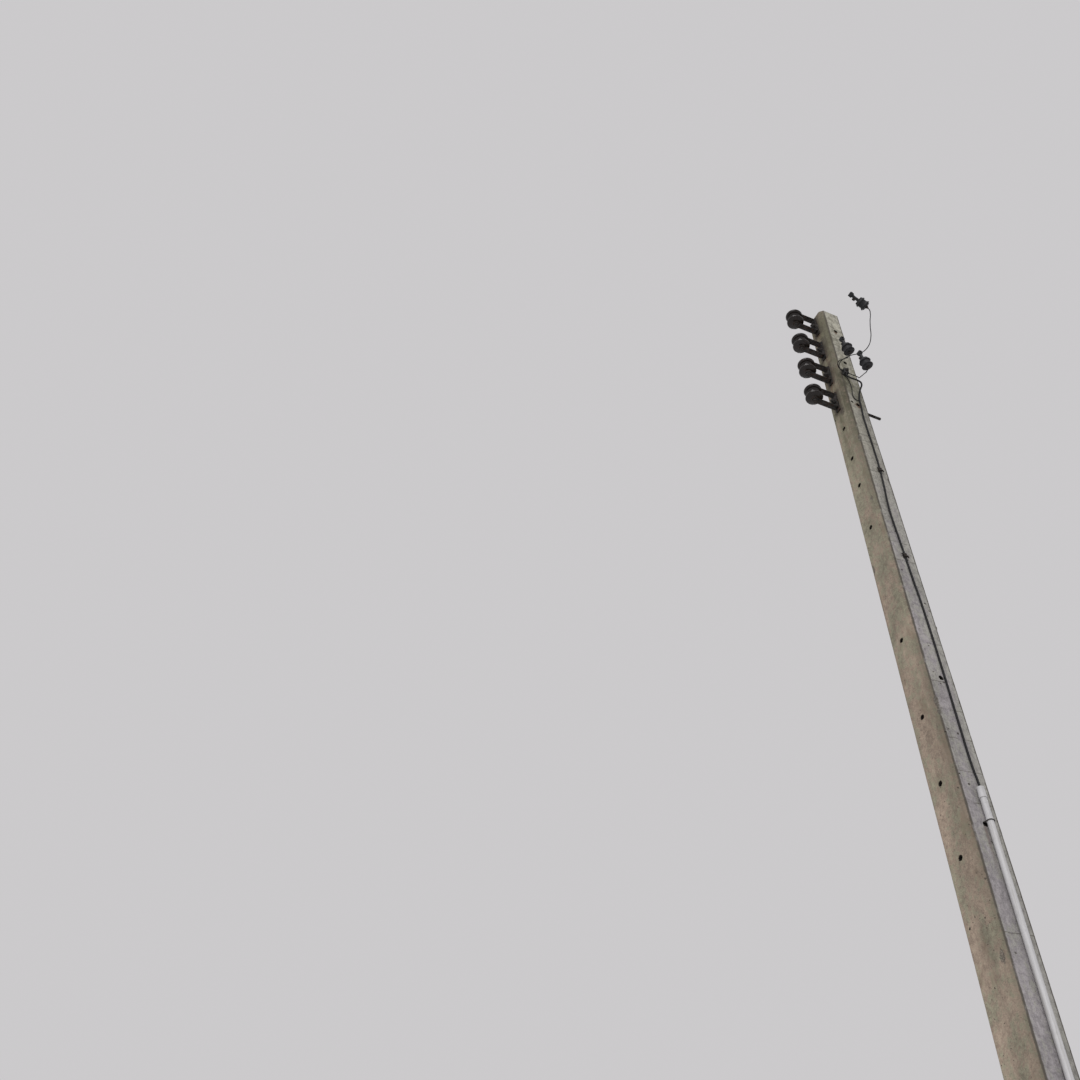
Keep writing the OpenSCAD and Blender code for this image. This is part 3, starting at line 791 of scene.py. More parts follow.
# Faint lines across, where the pours and the mould's plates met, and the seam along the arrises.
def castLines(m, s):
    bent = m.drop + m.y * 0.10 + (m.blot - 0.5) * 0.016
    line = abs(bent - s["crossLines"][0])
    for low in s["crossLines"][1:]:
        line = line.maths("MINIMUM", line, abs(bent - low))
    lines = m.level(line, 0.0036, 0.0008, 0.5) + m.level(line, 0.0011, 0.0004, 0.5)
    lines = lines * m.level(m.patch + (m.blot - 0.5) * 0.6, 0.38, 0.50) * (1 - m.rackSide)
    aside = m.inY - post["chamfer"]
    seam = (m.inX * m.inX + aside * aside) ** 0.5 + (m.blot - 0.5) * 0.007
    broken = m.noise(26, 4, 0.6, stretch=(1, 1, 0.5), shift=(5, 5, 5))
    seam = m.level(seam, 0.0066, 0.0022) * m.level(broken, 0.30, 0.46)
    return lines, seam


# Dark round the racks' plates, soot and painted shade both, and rust: a run under each, fading before the
# next, long under the last.
# Gives the colour and the share of rust, which is laid on later.
def rackStains(m, s, color):
    pitch = post["rackPitch"]
    beside = abs((m.drop - post["rackDrop"] + pitch / 2) % pitch - pitch / 2)
    # soot and painted shade round each rack's plate
    plateShadeAndSoot = m.level(abs(m.x) + (m.ragged - 0.5) * 0.030, 0.042, 0.018) * m.level(m.drop, 0.80, 0.76)
    plateShadeAndSoot = plateShadeAndSoot * m.level(beside + (m.blot - 0.5) * 0.04, 0.098, 0.066)
    color = m.mix(plateShadeAndSoot * m.onRacks * 0.60, color, s["soot"])
    phase = (m.drop - post["rackDrop"] - 0.058) % pitch
    within = m.level(m.drop, 0.800, 0.780) * m.level(m.drop, 0.14, 0.15)
    short = m.level(phase, 0.142, 0.0) * within
    long = m.level(m.drop, 1.30, 0.74) * m.level(m.drop, 0.735, 0.748)
    width = m.level(abs(m.x) + (m.ragged - 0.5) * 0.022, 0.030, 0.006)
    below = m.level(m.drop, 0.05, 0.75, 0.6) + 0.4
    rust = (short * below * m.level(m.drop, 0.78, 0.70) + long * 0.10) * width * m.onRacks
    rust = rust * m.level(m.ragged, 0.34, 0.58)
    share = long * width * m.onRacks * m.level(m.ragged, 0.36, 0.58, 0.75)
    color = m.mix(share, color, m.tone(s["growth"], 0.6))
    side, low = s["sootSpot"]
    spot = ((m.x - side) * (m.x - side) * 2500 + (m.drop - low) * (m.drop - low) * 900) ** 0.5
    color = m.mix(m.level(spot + (m.blot - 0.5) * 0.8, 1.1, 0.4, 0.7) * m.onRacks, color, s["soot"])
    return color, rust


# On the lead's face: a rusty mark under the first hole, a brown ring round the third, and the tie's run.
def leadMarks(m, s):
    rough = (m.blot - 0.5) * 0.6
    first = m.level(fromSpot(m, s["rustUnderHole"]) + rough, 1.25, 0.6)
    third = m.level(fromSpot(m, s["ringRoundHole"]) + rough, 1.3, 0.7)
    tieMark = m.level(m.y, 0.004, -0.004) * m.level(abs(m.y + 0.004), 0.016, 0.004)
    tieRun = tieMark * m.level(m.drop, 3.25, 2.96) * m.level(m.drop, 2.945, 2.965)
    return (first * 0.95 + third * 0.8 + tieRun * 0.5) * m.onLead


# Pits left by air, small and large: round each scattered point, up to a radius that its own chance sets.
# Gives the pits' share and the painted shadows in the middles of the large ones.
def airPits(m):
    near, chance = m.cells(58, shift=(4, 4, 4))
    small = m.level(near, 0.16 * chance, 0.10 * chance) * m.level(chance, 0.66, 0.70)
    wide, odds = m.cells(27, shift=(1, 3, 7))
    ring = wide + (m.speckle - 0.5) * 0.16 + (m.blot - 0.5) * 0.14
    large = m.level(ring, 0.145 * odds, 0.095 * odds) * m.level(odds, 0.78, 0.82)
    pitShadows = m.level(ring, 0.100 * odds, 0.030 * odds) * large
    return small.maths("MAXIMUM", small, large), pitShadows


# Broken places show paler grain and stones, with dirty crumbs.
def brokenOver(m, s, color, gone, crumbs, stones, kind):
    stone = m.tone(s["broken"], kind * 0.35 + 0.65)
    grain = m.mix(m.level(stones, 0.25, 0.55), stone, m.tone(s["broken"], 0.62))
    color = m.mix(m.level(gone, 0.05, 0.60, 0.45), color, grain)
    return m.mix(crumbs * 0.80, color, m.tone(s["grime"], 1.2))


def concretePaint(s):
    m = PostShader("weathered_concrete")
    color = growthOver(m, s, faceColors(m, s))
    color = rainOver(m, s, mottleOver(m, color))
    color = edgesOver(m, s, color)
    lines, seam = castLines(m, s)
    color = m.mix(lines * 0.75, color, s["grime"])
    color = m.mix(seam * 0.88, color, s["grime"])
    color, rust = rackStains(m, s, color)
    color = m.mix(m.level(rust + leadMarks(m, s), 0.0, 1.0, 0.85), color, s["rust"])
    specks = m.level(m.noise(150, 3, 0.6, shift=(8, 8, 1)), 0.60, 0.68) * m.level(m.patch, 0.40, 0.58)
    pale = m.level(m.noise(170, 3, 0.6, shift=(1, 8, 9)), 0.62, 0.70)
    color = m.mix(specks * 0.45, color, s["grime"])
    color = m.mix(pale * 0.22, color, s["broken"])
    pits, pitShadows = airPits(m)
    gone, bore = m.mark("gone"), m.mark("bore")
    crumbs = m.level(gone, 0.02, 0.50) * m.level(m.noise(150, 6, 0.8, shift=(3, 3, 6)), 0.40, 0.64)
    stones, kind = m.cells(130, shift=(9, 0, 2))
    color = brokenOver(m, s, color, gone, crumbs, stones, kind)
    # the pits darkened with grime and painted shade, and the large ones' middles with near black painted
    # shadow
    color = m.mix(pits * 0.88, color, s["grime"])
    color = m.mix(pitShadows * 0.85, color, s["hole"])
    # soil splashed up over the foot, and painted shade: the holes' walls near black
    splash = m.level(m.z + (m.patch - 0.5) * 0.5 + (m.blot - 0.5) * 0.25, 0.34, -0.05)
    color = m.mix(splash * 0.45, color, s["soil"])
    color = m.mix(bore, color, s["hole"])
    height = m.speckle * 0.35 + m.grit * 0.18 + m.clouds * 0.6 - specks * 0.25 - pits * 1.3
    height = height + gone * (0.5 - stones) * 1.2
    height = height - lines * 0.20 - seam * 0.5 - crumbs * 1.2
    rough = m.level(m.speckle, 0.2, 0.8, 0.10) + 0.86
    return m.finish(color=color, rough=rough, normal=m.bump(height, 0.0014, 0.9), gloss=0.3)


addPiece("concrete_post", makePost(post, concretePaint(concrete)), "concrete", "post")
print("post made")

# Racks: flat bar bent to a U, on a back plate, at four heights.
rack = {
    "barHalf": 0.014,
    "barThick": 0.005,
    "gap": 0.086,            # between the arms
    "plateHalf": 0.065,
    "plateThick": 0.005,
    "plateCorner": 0.005,
    "reach": 0.125,          # from the plate's back to the pin
    "bend": 0.007,           # inside radius of the bends
    "edge": 0.0011,          # rounding of the bar's edges
    "worn": 0.0004,          # how much narrower the bar is in places
    # how far the rings along an arm are from its round end
    "armRings": [0.0002, 0.0012, 0.003, 0.0055, 0.009, 0.014, 0.03, 0.06, 0.09],
}


# Where a rack's bolt meets its plate, which stands upright and touches the leaning face at its foot.
def rackOrigin(i):
    z = post["height"] - rackDrops[i]
    return np.array([0, -faceAt(z - rack["plateHalf"]), z])


# Bar's path in the plane of y and z: out along the upper arm's middle to the bend, down the web, and back.
def barPath(s):
    mid = s["gap"] / 2 + s["barThick"] / 2
    turn = s["bend"] + s["barThick"] / 2
    tip = -(s["reach"] + s["barHalf"])
    corner = -(s["plateThick"] + s["barThick"] / 2 + turn)
    reach = np.array(s["armRings"])
    arm = np.stack([tip + reach, mid + 0 * reach], -1)
    bend = arc((corner, mid - turn), turn, 90, 0, 8)
    web = np.stack([np.full(3, corner + turn), np.linspace(mid - turn, turn - mid, 5)[1:4]], -1)
    half = np.concatenate([arm, bend])
    return np.concatenate([half, web, half[::-1] * [1, -1]])


# Flat bar along a path: at each point a rounded rectangle stands square to it. Near a round end, at
# distance s from it, the half width is sqrt(r^2 - (r - s)^2).
def flatBar(s, seed):
    path = barPath(s)
    step = np.linalg.norm(np.diff(path, axis=0), axis=1)
    run = np.concatenate([[0], np.cumsum(step)]) + s["armRings"][0]
    end = np.minimum(np.minimum(run, run[-1] + s["armRings"][0] - run), s["barHalf"])
    half = np.sqrt(s["barHalf"] ** 2 - (s["barHalf"] - end) ** 2)
    half = half - s["worn"] * lattice(seed, run * 60, 0.5)
    heading = headings(path)
    normal = np.stack([-heading[:, 1], heading[:, 0]], -1)
    x, t = roundedLoop(half, s["barThick"] / 2, s["edge"], 3)
    y = path[:, :1] + normal[:, :1] * t
    z = path[:, 1:] + normal[:, 1:] * t
    return np.stack([x, y, z], -1)


# A rack: the plate against the post, and the bent bar in front of it.
def makeRack(s, i, paint):
    origin = rackOrigin(i)
    plate = slab(s["barHalf"], s["plateHalf"], s["plateThick"], s["plateCorner"], s["edge"])
    plate = placed(plate, origin, (1, 0, 0), (0, 0, 1), (0, -1, 0))
    shells = [shell(plate), shell(flatBar(s, 300 + i) + origin)]
    mesh = makeMesh("rack_%d" % (i + 1), shells, [paint])
    addPiece("spool_rack_%d" % (i + 1), mesh, "zinc_steel", "rack_bracket_%d" % (i + 1))


# Old galvanised bar: zinc gone nearly black with grime, with rust that comes through in patches.
zincBar = {
    "zinc": (0.043, 0.041, 0.040),
    "dark": (0.012, 0.011, 0.010),
    "rust": (0.042, 0.018, 0.010),
    "fresh": (0.074, 0.031, 0.015),
}


def zincPaint(s):
    m = Shader("old_zinc_bar")
    clouds = m.noise(42, 6, 0.65)
    fine = m.noise(420, 4, 0.65)
    runs = m.noise(120, 4, 0.6, stretch=(1, 1, 0.12))
    color = m.tone(s["zinc"], 0.55 + fine * 0.5 + clouds * 0.35)
    color = m.mix(m.level(clouds * 0.6 + runs * 0.4, 0.40, 0.56), color, s["dark"])
    rusty = m.level(m.noise(85, 7, 0.72, shift=(5, 3, 1)) + (fine - 0.5) * 0.15, 0.50, 0.64)
    color = m.mix(rusty * 0.75, color, m.mix(m.level(fine, 0.45, 0.62), s["rust"], s["fresh"]))
    rough = 0.64 + rusty * 0.22 + fine * 0.08
    height = fine * 0.5 + rusty * 0.7 + clouds * 0.4
    metal = 0.2 - rusty * 0.2
    return m.finish(color=color, rough=rough, metal=metal, normal=m.bump(height, 0.0005, 0.9), gloss=0.25)


oldZinc = zincPaint(zincBar)
for number in range(post["racks"]):
    makeRack(rack, number, oldZinc)
print("racks made")

# Spools: two bells with a groove between them, on a bore for the pin.
spool = {
    "radius": 0.040,
    "high": 0.076,
    "groove": 0.0225,        # radius at the bottom of the groove
    "grooveRound": 0.015,
    "bore": 0.00875,
    "rim": 0.009,            # rounding of the bells' rims
    "slope": 60.0,           # degrees, where the rim runs into the bell's cone
    "top": 0.024,            # radius of the end faces
    "bareRadius": 0.0152,    # up to which the end faces have no glaze
    "bareFrom": 0.030,       # height from the middle where the bore's bare ends begin
}


# Half a spool's profile from the bore out to the groove: end face, cone, rim, groove.
def spoolProfile(s):
    rimX, rimZ = s["radius"] - s["rim"], s["grooveRound"] + s["rim"]
    half = s["high"] / 2
    mouth = [(s["bore"], half - 0.0022), (s["bore"] + 0.0006, half - 0.0008), (s["bore"] + 0.0022, half)]
    face = [(0.0150, half), (0.0153, half - 0.0003), (s["top"] - 0.0022, half - 0.0003)]
    rim = arc((rimX, rimZ), s["rim"], s["slope"], -90, 15)
    cone = np.linspace((s["top"] + 0.0002, half - 0.0012), rim[0], 5)[:-1]
    inner = arc((s["groove"] + s["grooveRound"], 0), s["grooveRound"], 120, 180, 10)
    throat = [(rimX - 0.0020, s["grooveRound"] - 0.0006)]
    return np.concatenate([mouth, face, cone, rim, throat, inner])


# A spool: half a profile and its mirrored half, turned round the pin. It rests on the rack's lower arm.
def makeSpool(s, i, glaze, bare):
    half = spoolProfile(s)
    profile = np.concatenate([half, half[-2::-1] * [1, -1]])
    bareEnd = (profile[:, 0] < s["bareRadius"]) & (np.abs(profile[:, 1]) > s["bareFrom"])
    origin = rackOrigin(i) + [0, -rack["reach"], -(rack["gap"] - s["high"]) / 2]
    points = revolve(profile, 72) + origin
    spoolShell = shell(points, np.where(bareEnd, 1, 0), loop=True)
    mesh = makeMesh("spool_%d" % (i + 1), [spoolShell], [glaze, bare], 60)
    addPiece("spool_insulator_%d" % (i + 1), mesh, "porcelain", "spool_%d" % (i + 1))


# Brown glaze: nearly black, glossy, with a dusty film above and fine runs of dirt.
glazeSet = {
    "glaze": (0.009, 0.006, 0.005),
    "thin": (0.022, 0.011, 0.008),      # where the glaze runs thin
    "dust": (0.150, 0.140, 0.130),
    "bare": (0.090, 0.070, 0.055),
}


def glazePaint(s):
    m = Shader("brown_glaze")
    clouds = m.noise(38, 4, 0.6)
    fine = m.noise(260, 4, 0.6)
    color = m.mix(m.level(clouds, 0.50, 0.78), s["glaze"], s["thin"])
    up = m.level(m.upward(), 0.0, 0.75)
    film = up * 0.60 + m.level(m.noise(90, 5, 0.7, stretch=(1, 1, 0.25)), 0.54, 0.76) * 0.14
    film = film * m.level(fine, 0.25, 0.60)
    color = m.mix(film, color, s["dust"])
    rough = 0.20 + film * 0.55 + fine * 0.05
    height = clouds * 0.5 + m.noise(34, 2, 0.5, shift=(3, 3, 3)) * 0.5
    return m.finish(color=color, rough=rough, normal=m.bump(height, 0.0009, 0.6), gloss=0.32)


def barePaint(s):
    m = Shader("unglazed_ring")
    grain = m.noise(900, 3, 0.6)
    soot = m.level(m.noise(120, 5, 0.6), 0.35, 0.65)
    color = m.mix(soot * 0.7, m.tone(s["bare"], 0.75 + grain * 0.4), s["glaze"])
    return m.finish(color=color, rough=0.85, normal=m.bump(grain, 0.0003))


brownGlaze, bareRing = glazePaint(glazeSet), barePaint(glazeSet)
for number in range(post["racks"]):
    makeSpool(spool, number, brownGlaze, bareRing)
print("spools made")

# Pins, bolts, nuts and washers.
fastener = {
    "radius": 0.0065,
    "across": 0.0195,
    "headHigh": 0.0078,
    "nutHigh": 0.0104,
    "pinTail": 0.020,
    "boltNutHigh": 0.01105,
    "frontEnd": 0.008,       # thread in front of the front nut
    "tails": [0.040, 0.040, 0.040, 0.114],
    "washer": 0.003,
    "washerRadius": 0.013,
    "washerEdge": 0.0006,
    "squareHalf": 0.025,
    "squareCorner": 0.002,
    # how far each head and nut happens to be turned, in degrees
    "turns": [12, 41, 25, 52, 8, 33, 47, 19, 5, 28, 50, 37],
}


# Hexagon nut turned about its axis: x' = x cos a - y sin a, y' = x sin a + y cos a.
def turnedNut(across, high, degrees):
    c, s = math.cos(math.radians(degrees)), math.sin(math.radians(degrees))
    return hexNut(across, high) @ np.array([[c, s, 0], [-s, c, 0], [0, 0, 1]])


# A pin down through a rack's arms and its spool: head above, nut and thread below.
def makePin(s, i, paint):
    half = rack["gap"] / 2 + rack["barThick"]
    origin = rackOrigin(i) + [0, -rack["reach"], 0]
    low = -half - s["pinTail"]
    head = turnedNut(s["across"], s["headHigh"], s["turns"][i]) + origin + [0, 0, half]
    nut = turnedNut(s["across"], s["nutHigh"], s["turns"][i + 4]) + origin - [0, 0, half + s["nutHigh"]]
    shank = rod(s["radius"], low, half + 0.001, [(low + 0.0005, low + 0.0105)]) + origin
    mesh = makeMesh("pin_%d" % (i + 1), [shell(head), shell(nut), shell(shank)], [paint])
    addPiece("spool_pin_%d_steel" % (i + 1), mesh, "bolts", "spool_pin_%d" % (i + 1))


# Bolt through the post with its front nut and round washer, in a frame whose z runs to the back.
def makeBolt(s, i, paint):
    grip = rack["plateThick"] + rack["barThick"]
    front = grip + s["washer"] + s["boltNutHigh"] + s["frontEnd"]
    origin = rackOrigin(i)
    tail = faceAt(origin[2]) - origin[1] + s["tails"][i]
    back = faceAt(origin[2]) - origin[1] + s["washer"] + s["boltNutHigh"]
    threads = [(-front + 0.0005, -front + 0.0095), (back - 0.001, tail - 0.0005)]
    shank = rod(s["radius"], -front, tail, threads)
    wide, thick, edge = s["washerRadius"], s["washer"], s["washerEdge"]
    outline = [(0.002, 0), (wide - edge, 0), (wide, edge), (wide, thick - edge), (wide - edge, thick),
               (0.002, thick)]
    seat = -grip - s["washer"]
    ring = revolve(outline, 40) + [0, 0, seat]
    nut = turnedNut(s["across"], s["boltNutHigh"], s["turns"][i + 8]) + [0, 0, seat - s["boltNutHigh"]]
    parts = [shell(placed(p, origin, (1, 0, 0), (0, 0, -1), (0, 1, 0))) for p in (shank, ring, nut)]
    mesh = makeMesh("bolt_%d" % (i + 1), parts, [paint])
    addPiece("rack_bolt_%d_steel" % (i + 1), mesh, "bolts", "rack_bolt_%d" % (i + 1))


# A square washer that touches the leaning back face at its foot, and a nut on it.
def makeBackNut(s, i, paint):
    z = post["height"] - rackDrops[i]
    origin = (0, faceAt(z - s["squareHalf"]), z)
    plate = slab(s["squareHalf"], s["squareHalf"], s["washer"], s["squareCorner"], s["washerEdge"])
    nut = turnedNut(s["across"], s["boltNutHigh"], s["turns"][(i * 5) % 12]) + [0, 0, s["washer"]]
    parts = [shell(placed(p, origin, (1, 0, 0), (0, 0, -1), (0, 1, 0))) for p in (plate, nut)]
    mesh = makeMesh("back_nut_%d" % (i + 1), parts, [paint])
    addPiece("back_nut_%d_steel" % (i + 1), mesh, "bolts", "back_nut_%d" % (i + 1))


# Galvanised bolts: grey zinc, much stained, with rust in the roots.
boltSet = {"zinc": (0.042, 0.040, 0.039), "stain": (0.012, 0.011, 0.010), "rust": (0.040, 0.018, 0.010)}


def boltPaint(s):
    m = Shader("zinc_bolts")
    clouds = m.noise(110, 5, 0.65)
    fine = m.noise(700, 3, 0.6)
    color = m.tone(s["zinc"], 0.62 + clouds * 0.45 + fine * 0.2)
    color = m.mix(m.level(clouds, 0.40, 0.58) * 0.85, color, s["stain"])
    rusty = m.level(m.noise(160, 6, 0.7, shift=(4, 0, 6)), 0.50, 0.64)
    color = m.mix(rusty * 0.75, color, s["rust"])
    rough = 0.52 + rusty * 0.32 + fine * 0.1
    metal = 0.15 - rusty * 0.15
    normal = m.bump(fine + rusty, 0.0003, 0.8)
    return m.finish(color=color, rough=rough, metal=metal, normal=normal, gloss=0.22)


zincBolts = boltPaint(boltSet)
for number in range(post["racks"]):
    makePin(fastener, number, zincBolts)
    makeBolt(fastener, number, zincBolts)
    makeBackNut(fastener, number, zincBolts)
print("fasteners made")

# Cords: points as x, y and the drop below the top of the post.
cords = {
    "thin": 0.002,           # radius of the arresters' leads and of the loop
    "thick": 0.004,          # radius of the earth lead
    "clampDrop": 0.522,
    "ledge": 0.0043,         # from the post's face to the earth lead's middle
    "lead1": [
        (0.357, -0.070, 0.432), (0.350, -0.066, 0.453), (0.338, -0.066, 0.483), (0.323, -0.062, 0.515),
        (0.303, -0.052, 0.548), (0.275, -0.046, 0.573), (0.240, -0.044, 0.573), (0.200, -0.048, 0.553),
        (0.165, -0.055, 0.523), (0.125, -0.066, 0.505), (0.108, -0.070, 0.502),
        (0.0935, -0.0715, 0.5055), (0.0815, -0.068, 0.5125), (0.074, -0.0585, 0.519),
        (0.071, -0.0413, 0.522)],
    "lead2": [
        (0.215, -0.1285, 0.6342), (0.206, -0.1273, 0.632), (0.1975, -0.124, 0.6255),
        (0.188, -0.1185, 0.6125), (0.176, -0.1105, 0.5935), (0.150, -0.0975, 0.5585),
        (0.1275, -0.088, 0.5305), (0.112, -0.084, 0.514), (0.0995, -0.083, 0.5075),
        (0.088, -0.0785, 0.507), (0.079, -0.071, 0.5095), (0.073, -0.0585, 0.513), (0.071, -0.0413, 0.5145)],
    "lead3": [
        (0.290, -0.1285, 0.8382), (0.2805, -0.126, 0.8357), (0.2715, -0.121, 0.8275),
        (0.262, -0.1135, 0.8125), (0.248, -0.103, 0.793), (0.217, -0.081, 0.752), (0.182, -0.0565, 0.706),
        (0.147, -0.032, 0.660), (0.1305, -0.019, 0.635), (0.116, -0.0055, 0.607), (0.102, 0.006, 0.579),
        (0.0875, 0.006, 0.5515), (0.076, -0.002, 0.5305), (0.071, -0.0167, 0.522)],
    "loop": [
        (0.066, -0.022, 0.5403), (0.066, -0.021, 0.555), (0.066, -0.015, 0.585), (0.066, -0.013, 0.620),
        (0.0655, -0.016, 0.655), (0.0655, -0.019, 0.680), (0.065, -0.016, 0.700), (0.065, -0.008, 0.710),
        (0.065, 0.002, 0.712), (0.065, 0.0055, 0.712)],
    "earthTop": [
        (0.076, -0.031, 0.5403), (0.076, -0.031, 0.553), (0.081, -0.024, 0.570), (0.090, -0.008, 0.587),
        (0.098, 0.008, 0.602), (0.100, 0.018, 0.614), (0.096, 0.021, 0.627), (0.087, 0.018, 0.642),
        (0.076, 0.014, 0.665)],
    # along the face: side and drop
    "earthFace": [
        (0.012, 0.710), (0.011, 0.750), (0.005, 0.820), (0.005, 0.900), (0.007, 1.000), (0.008, 1.100),
        (0.007, 1.197), (0.002, 1.293), (-0.009, 1.460), (-0.006, 1.570), (0.000, 1.720), (0.003, 1.825),
        (0.009, 1.960), (0.012, 2.100), (0.013, 2.300), (0.012, 2.590), (0.012, 2.700)],
    "earthMouth": [(0.081, 0.011, 2.750), (0.086, 0.009, 2.790)],
    "conduitDrops": [2.840, 3.000, 6.700],
}

# Conduit: a pipe down the lead's face, with a bell at its top.
conduit = {
    "radius": 0.0115,
    "wall": 0.002,
    "drop": 2.820,           # of its top
    "side": 0.008,
    "rings": [-0.001, 0.5, 1.2, 1.9, 2.6, 3.2],    # heights of the skin's rings below the tie
    "boreRings": [2.5, 1.2, -0.001],
    "bellRadius": 0.01375,
    "bellLong": 0.042,
    "bellStep": 0.015,       # from the bell's mouth to the pipe's end in it
    "bellGap": 0.0002,
    "bellGroove": 0.0006,    # how deep the bell is waisted between its two bands
    "flareRadius": 0.0125,
    "flareHigh": 0.016,
    "seat": 0.0003,
    "tieDrop": 2.949,
    "tieHook": 0.030,        # how far the tie's right leg reaches into the post's hole
    "tieRadius": 0.0015,
}


# Points whose third number is a drop below the top, in the shared frame.
def fromTop(points):
    return [(x, y, post["height"] - drop) for x, y, drop in points]


# The conduit's axis runs beside the leaning face: x = face + (bell's radius + seat) / cos(lean).
def conduitX(z):
    slope = math.atan(post["taper"] / 2)
    return faceAt(z) + (conduit["bellRadius"] + conduit["seat"]) / math.cos(slope)


# Black cable jacket, dulled by dust and handling.
cableSet = {"jacket": (0.011, 0.011, 0.012), "dust": (0.060, 0.056, 0.050)}


def cablePaint(s):
    m = Shader("cable_jacket")
    clouds = m.noise(60, 5, 0.6)
    fine = m.noise(900, 3, 0.6)
    film = m.level(clouds, 0.48, 0.72) * 0.45 + m.level(m.upward(), 0.2, 0.9) * 0.25
    color = m.mix(film * m.level(fine, 0.2, 0.7) * 0.6, s["jacket"], s["dust"])
    rough = 0.58 + film * 0.3
    return m.finish(color=color, rough=rough, normal=m.bump(fine + clouds * 2, 0.0003, 0.7), gloss=0.18)


cableJacket = cablePaint(cableSet)

# Arresters, each hung from a clamp: the clamp's jaw and stem, the housing with its sheds, and the stud.
arrester = {
    "jawY": -0.155484,
    "places": [(0.358, 0.361), (0.228, 0.540), (0.303, 0.744)],   # x and drop of the jaws' middles
    "tilts": [52.0, 16.0, 16.0],       # degrees, foot towards the post
    "jawHalf": (0.0095, 0.0085),
    "jawLong": 0.020,
    "jawCorner": 0.005,
    "jawEdge": 0.0012,
    "seamDeep": 0.10,        # share of the radius that the joint between the jaw's halves is cut in
    "seamWide": 0.09,        # radians
    "bore": 0.0055,
    "armRadius": 0.007,
    "boltDrop": 0.022,
    "boltOut": 0.014,
    "boltIn": 0.010,
    "boltRadius": 0.0032,
    "small": 0.013,          # across the flats of the small nuts
    "drop": 0.066,           # from the jaw's middle to the housing's
    "long": 0.046,
    "core": 0.020,
    "coreEdge": 0.002,
    "shed": 0.0255,
    "shedRim": 0.0012,
    "shedThick": 0.009,
    "shedFall": 0.004,
    "shedFoot": 0.005,
    "shedPitch": 0.026,
    "stud": 0.012,
    "studNut": 0.006,
    "studRadius": 0.004,
    # where a lead leaves: off the stud's axis towards the post, and below the stud's end
    "leadOuts": [(0, 0.0003), (0.0046, -0.003), (0.0046, -0.003)],
}


# Points of a clamp's frame in the shared one: its origin is the jaw's middle, and z is tilted about x.
def atClamp(s, i, points):
    a = math.radians(s["tilts"][i])
    x, drop = s["places"][i]
    origin = (x, s["jawY"], post["height"] - drop)
    return placed(points, origin, (1, 0, 0), (0, math.cos(a), math.sin(a)), (0, -math.sin(a), math.cos(a)))


# Jaw: a rounded rectangle outside and a circle inside, joined over both ends. The joint between its halves
# is a groove along each side: the outside times 1 - deep x e^-(angle from the side / wide)^2.
def jaw(s):
    y, z = (v[0] for v in roundedLoop(s["jawHalf"][1], s["jawHalf"][0], s["jawCorner"], 9))
    angle = np.arctan2(z, y)
    fromSide = np.minimum(np.abs(angle), np.pi - np.abs(angle))
    seam = 1 - s["seamDeep"] * np.exp(-(fromSide / s["seamWide"]) ** 2)
    outer = np.stack([y, z], -1) * seam[:, None]
    inner = np.stack([np.cos(angle), np.sin(angle)], -1) * s["bore"]
    half, edge = s["jawLong"] / 2, s["jawEdge"]
    steps = [(outer, edge - half), (outer, half - edge), (outer * 0.95, half - edge * 0.25),
             (outer * 0.88, half), (inner * 1.12, half), (inner, half - edge), (inner, edge - half),
             (inner * 1.12, -half), (outer * 0.88, -half), (outer * 0.95, edge * 0.25 - half)]
    return np.stack([np.concatenate([np.full((len(p), 1), x), p], 1) for p, x in steps])


# Stem from the jaw down to the housing, with a waist that the bolt goes through.
def clampStem(s):
    r, waist = s["armRadius"], s["armRadius"] * 0.90
    foot = s["drop"] - s["long"] / 2
    return revolve([(r * 0.6, -0.004), (r * 0.8, -0.006), (r, -0.009), (r, -0.015), (waist, -0.0155),
                    (waist, -0.0290), (r, -0.0295), (r, -foot + 0.003), (r * 0.95, -foot + 0.001),
                    (waist, -foot)], 32)


# A clamp: jaw and stem, and a bolt across the stem.
def makeLineClamp(s, i, plastic, steel):
    hole = (0, 0, -s["boltDrop"])
    sideways = ((0, 1, 0), (0, 0, -1), (-1, 0, 0))
    head = placed(turnedNut(s["small"], s["boltOut"], s["tilts"][i]), hole, *sideways)
    end = placed(rod(s["boltRadius"], s["boltIn"], s["boltOut"] + 0.001), hole, *sideways)
    parts = [shell(atClamp(s, i, jaw(s)), 0, loop=True), shell(atClamp(s, i, clampStem(s))),
             shell(atClamp(s, i, head), 1), shell(atClamp(s, i, end), 1)]
    mesh = makeMesh("line_clamp_%d" % (i + 1), parts, [plastic, steel], 30)
    addPiece("line_clamp_%d_body" % (i + 1), mesh, "clamp_plastic", "line_clamp_%d" % (i + 1))


# One shed's outline from its foot up: a flat foot, a round rim and a cone that falls back to the core.
def shedOutline(s, foot):
    core, shed = s["core"], s["shed"]
    rim, thick, fall = s["shedRim"], s["shedThick"], s["shedFall"]
    return [[(core, foot - 0.0010), (core + 0.0009, foot - 0.0001), (shed - rim, foot)],
            arc((shed - rim, foot + rim), rim, -70, 25, 5),
            [(shed - fall * 0.55, foot + thick * 0.62), (shed - fall - 0.0002, foot + thick - 0.0006)],
            [(core + 0.0008, foot + thick), (core, foot + thick + 0.0010)]]


# Housing's outline from its stud up: a core with rounded ends and two sheds.
def housing(s):
    core, top, edge = s["core"], s["long"], s["coreEdge"]
    parts = [[(0.0008, 0), (core - 0.004, 0)], arc((core - edge, edge), edge, -80, 0, 4)]
    for k in range(2):
        parts += shedOutline(s, s["shedFoot"] + k * s["shedPitch"])
    parts += [[(core, top - 0.003)], arc((core - edge, top - edge), edge, 0, 80, 4)]
    parts += [[(0.0090, top), (0.0008, top)]]
    return np.concatenate([np.asarray(p, float) for p in parts])


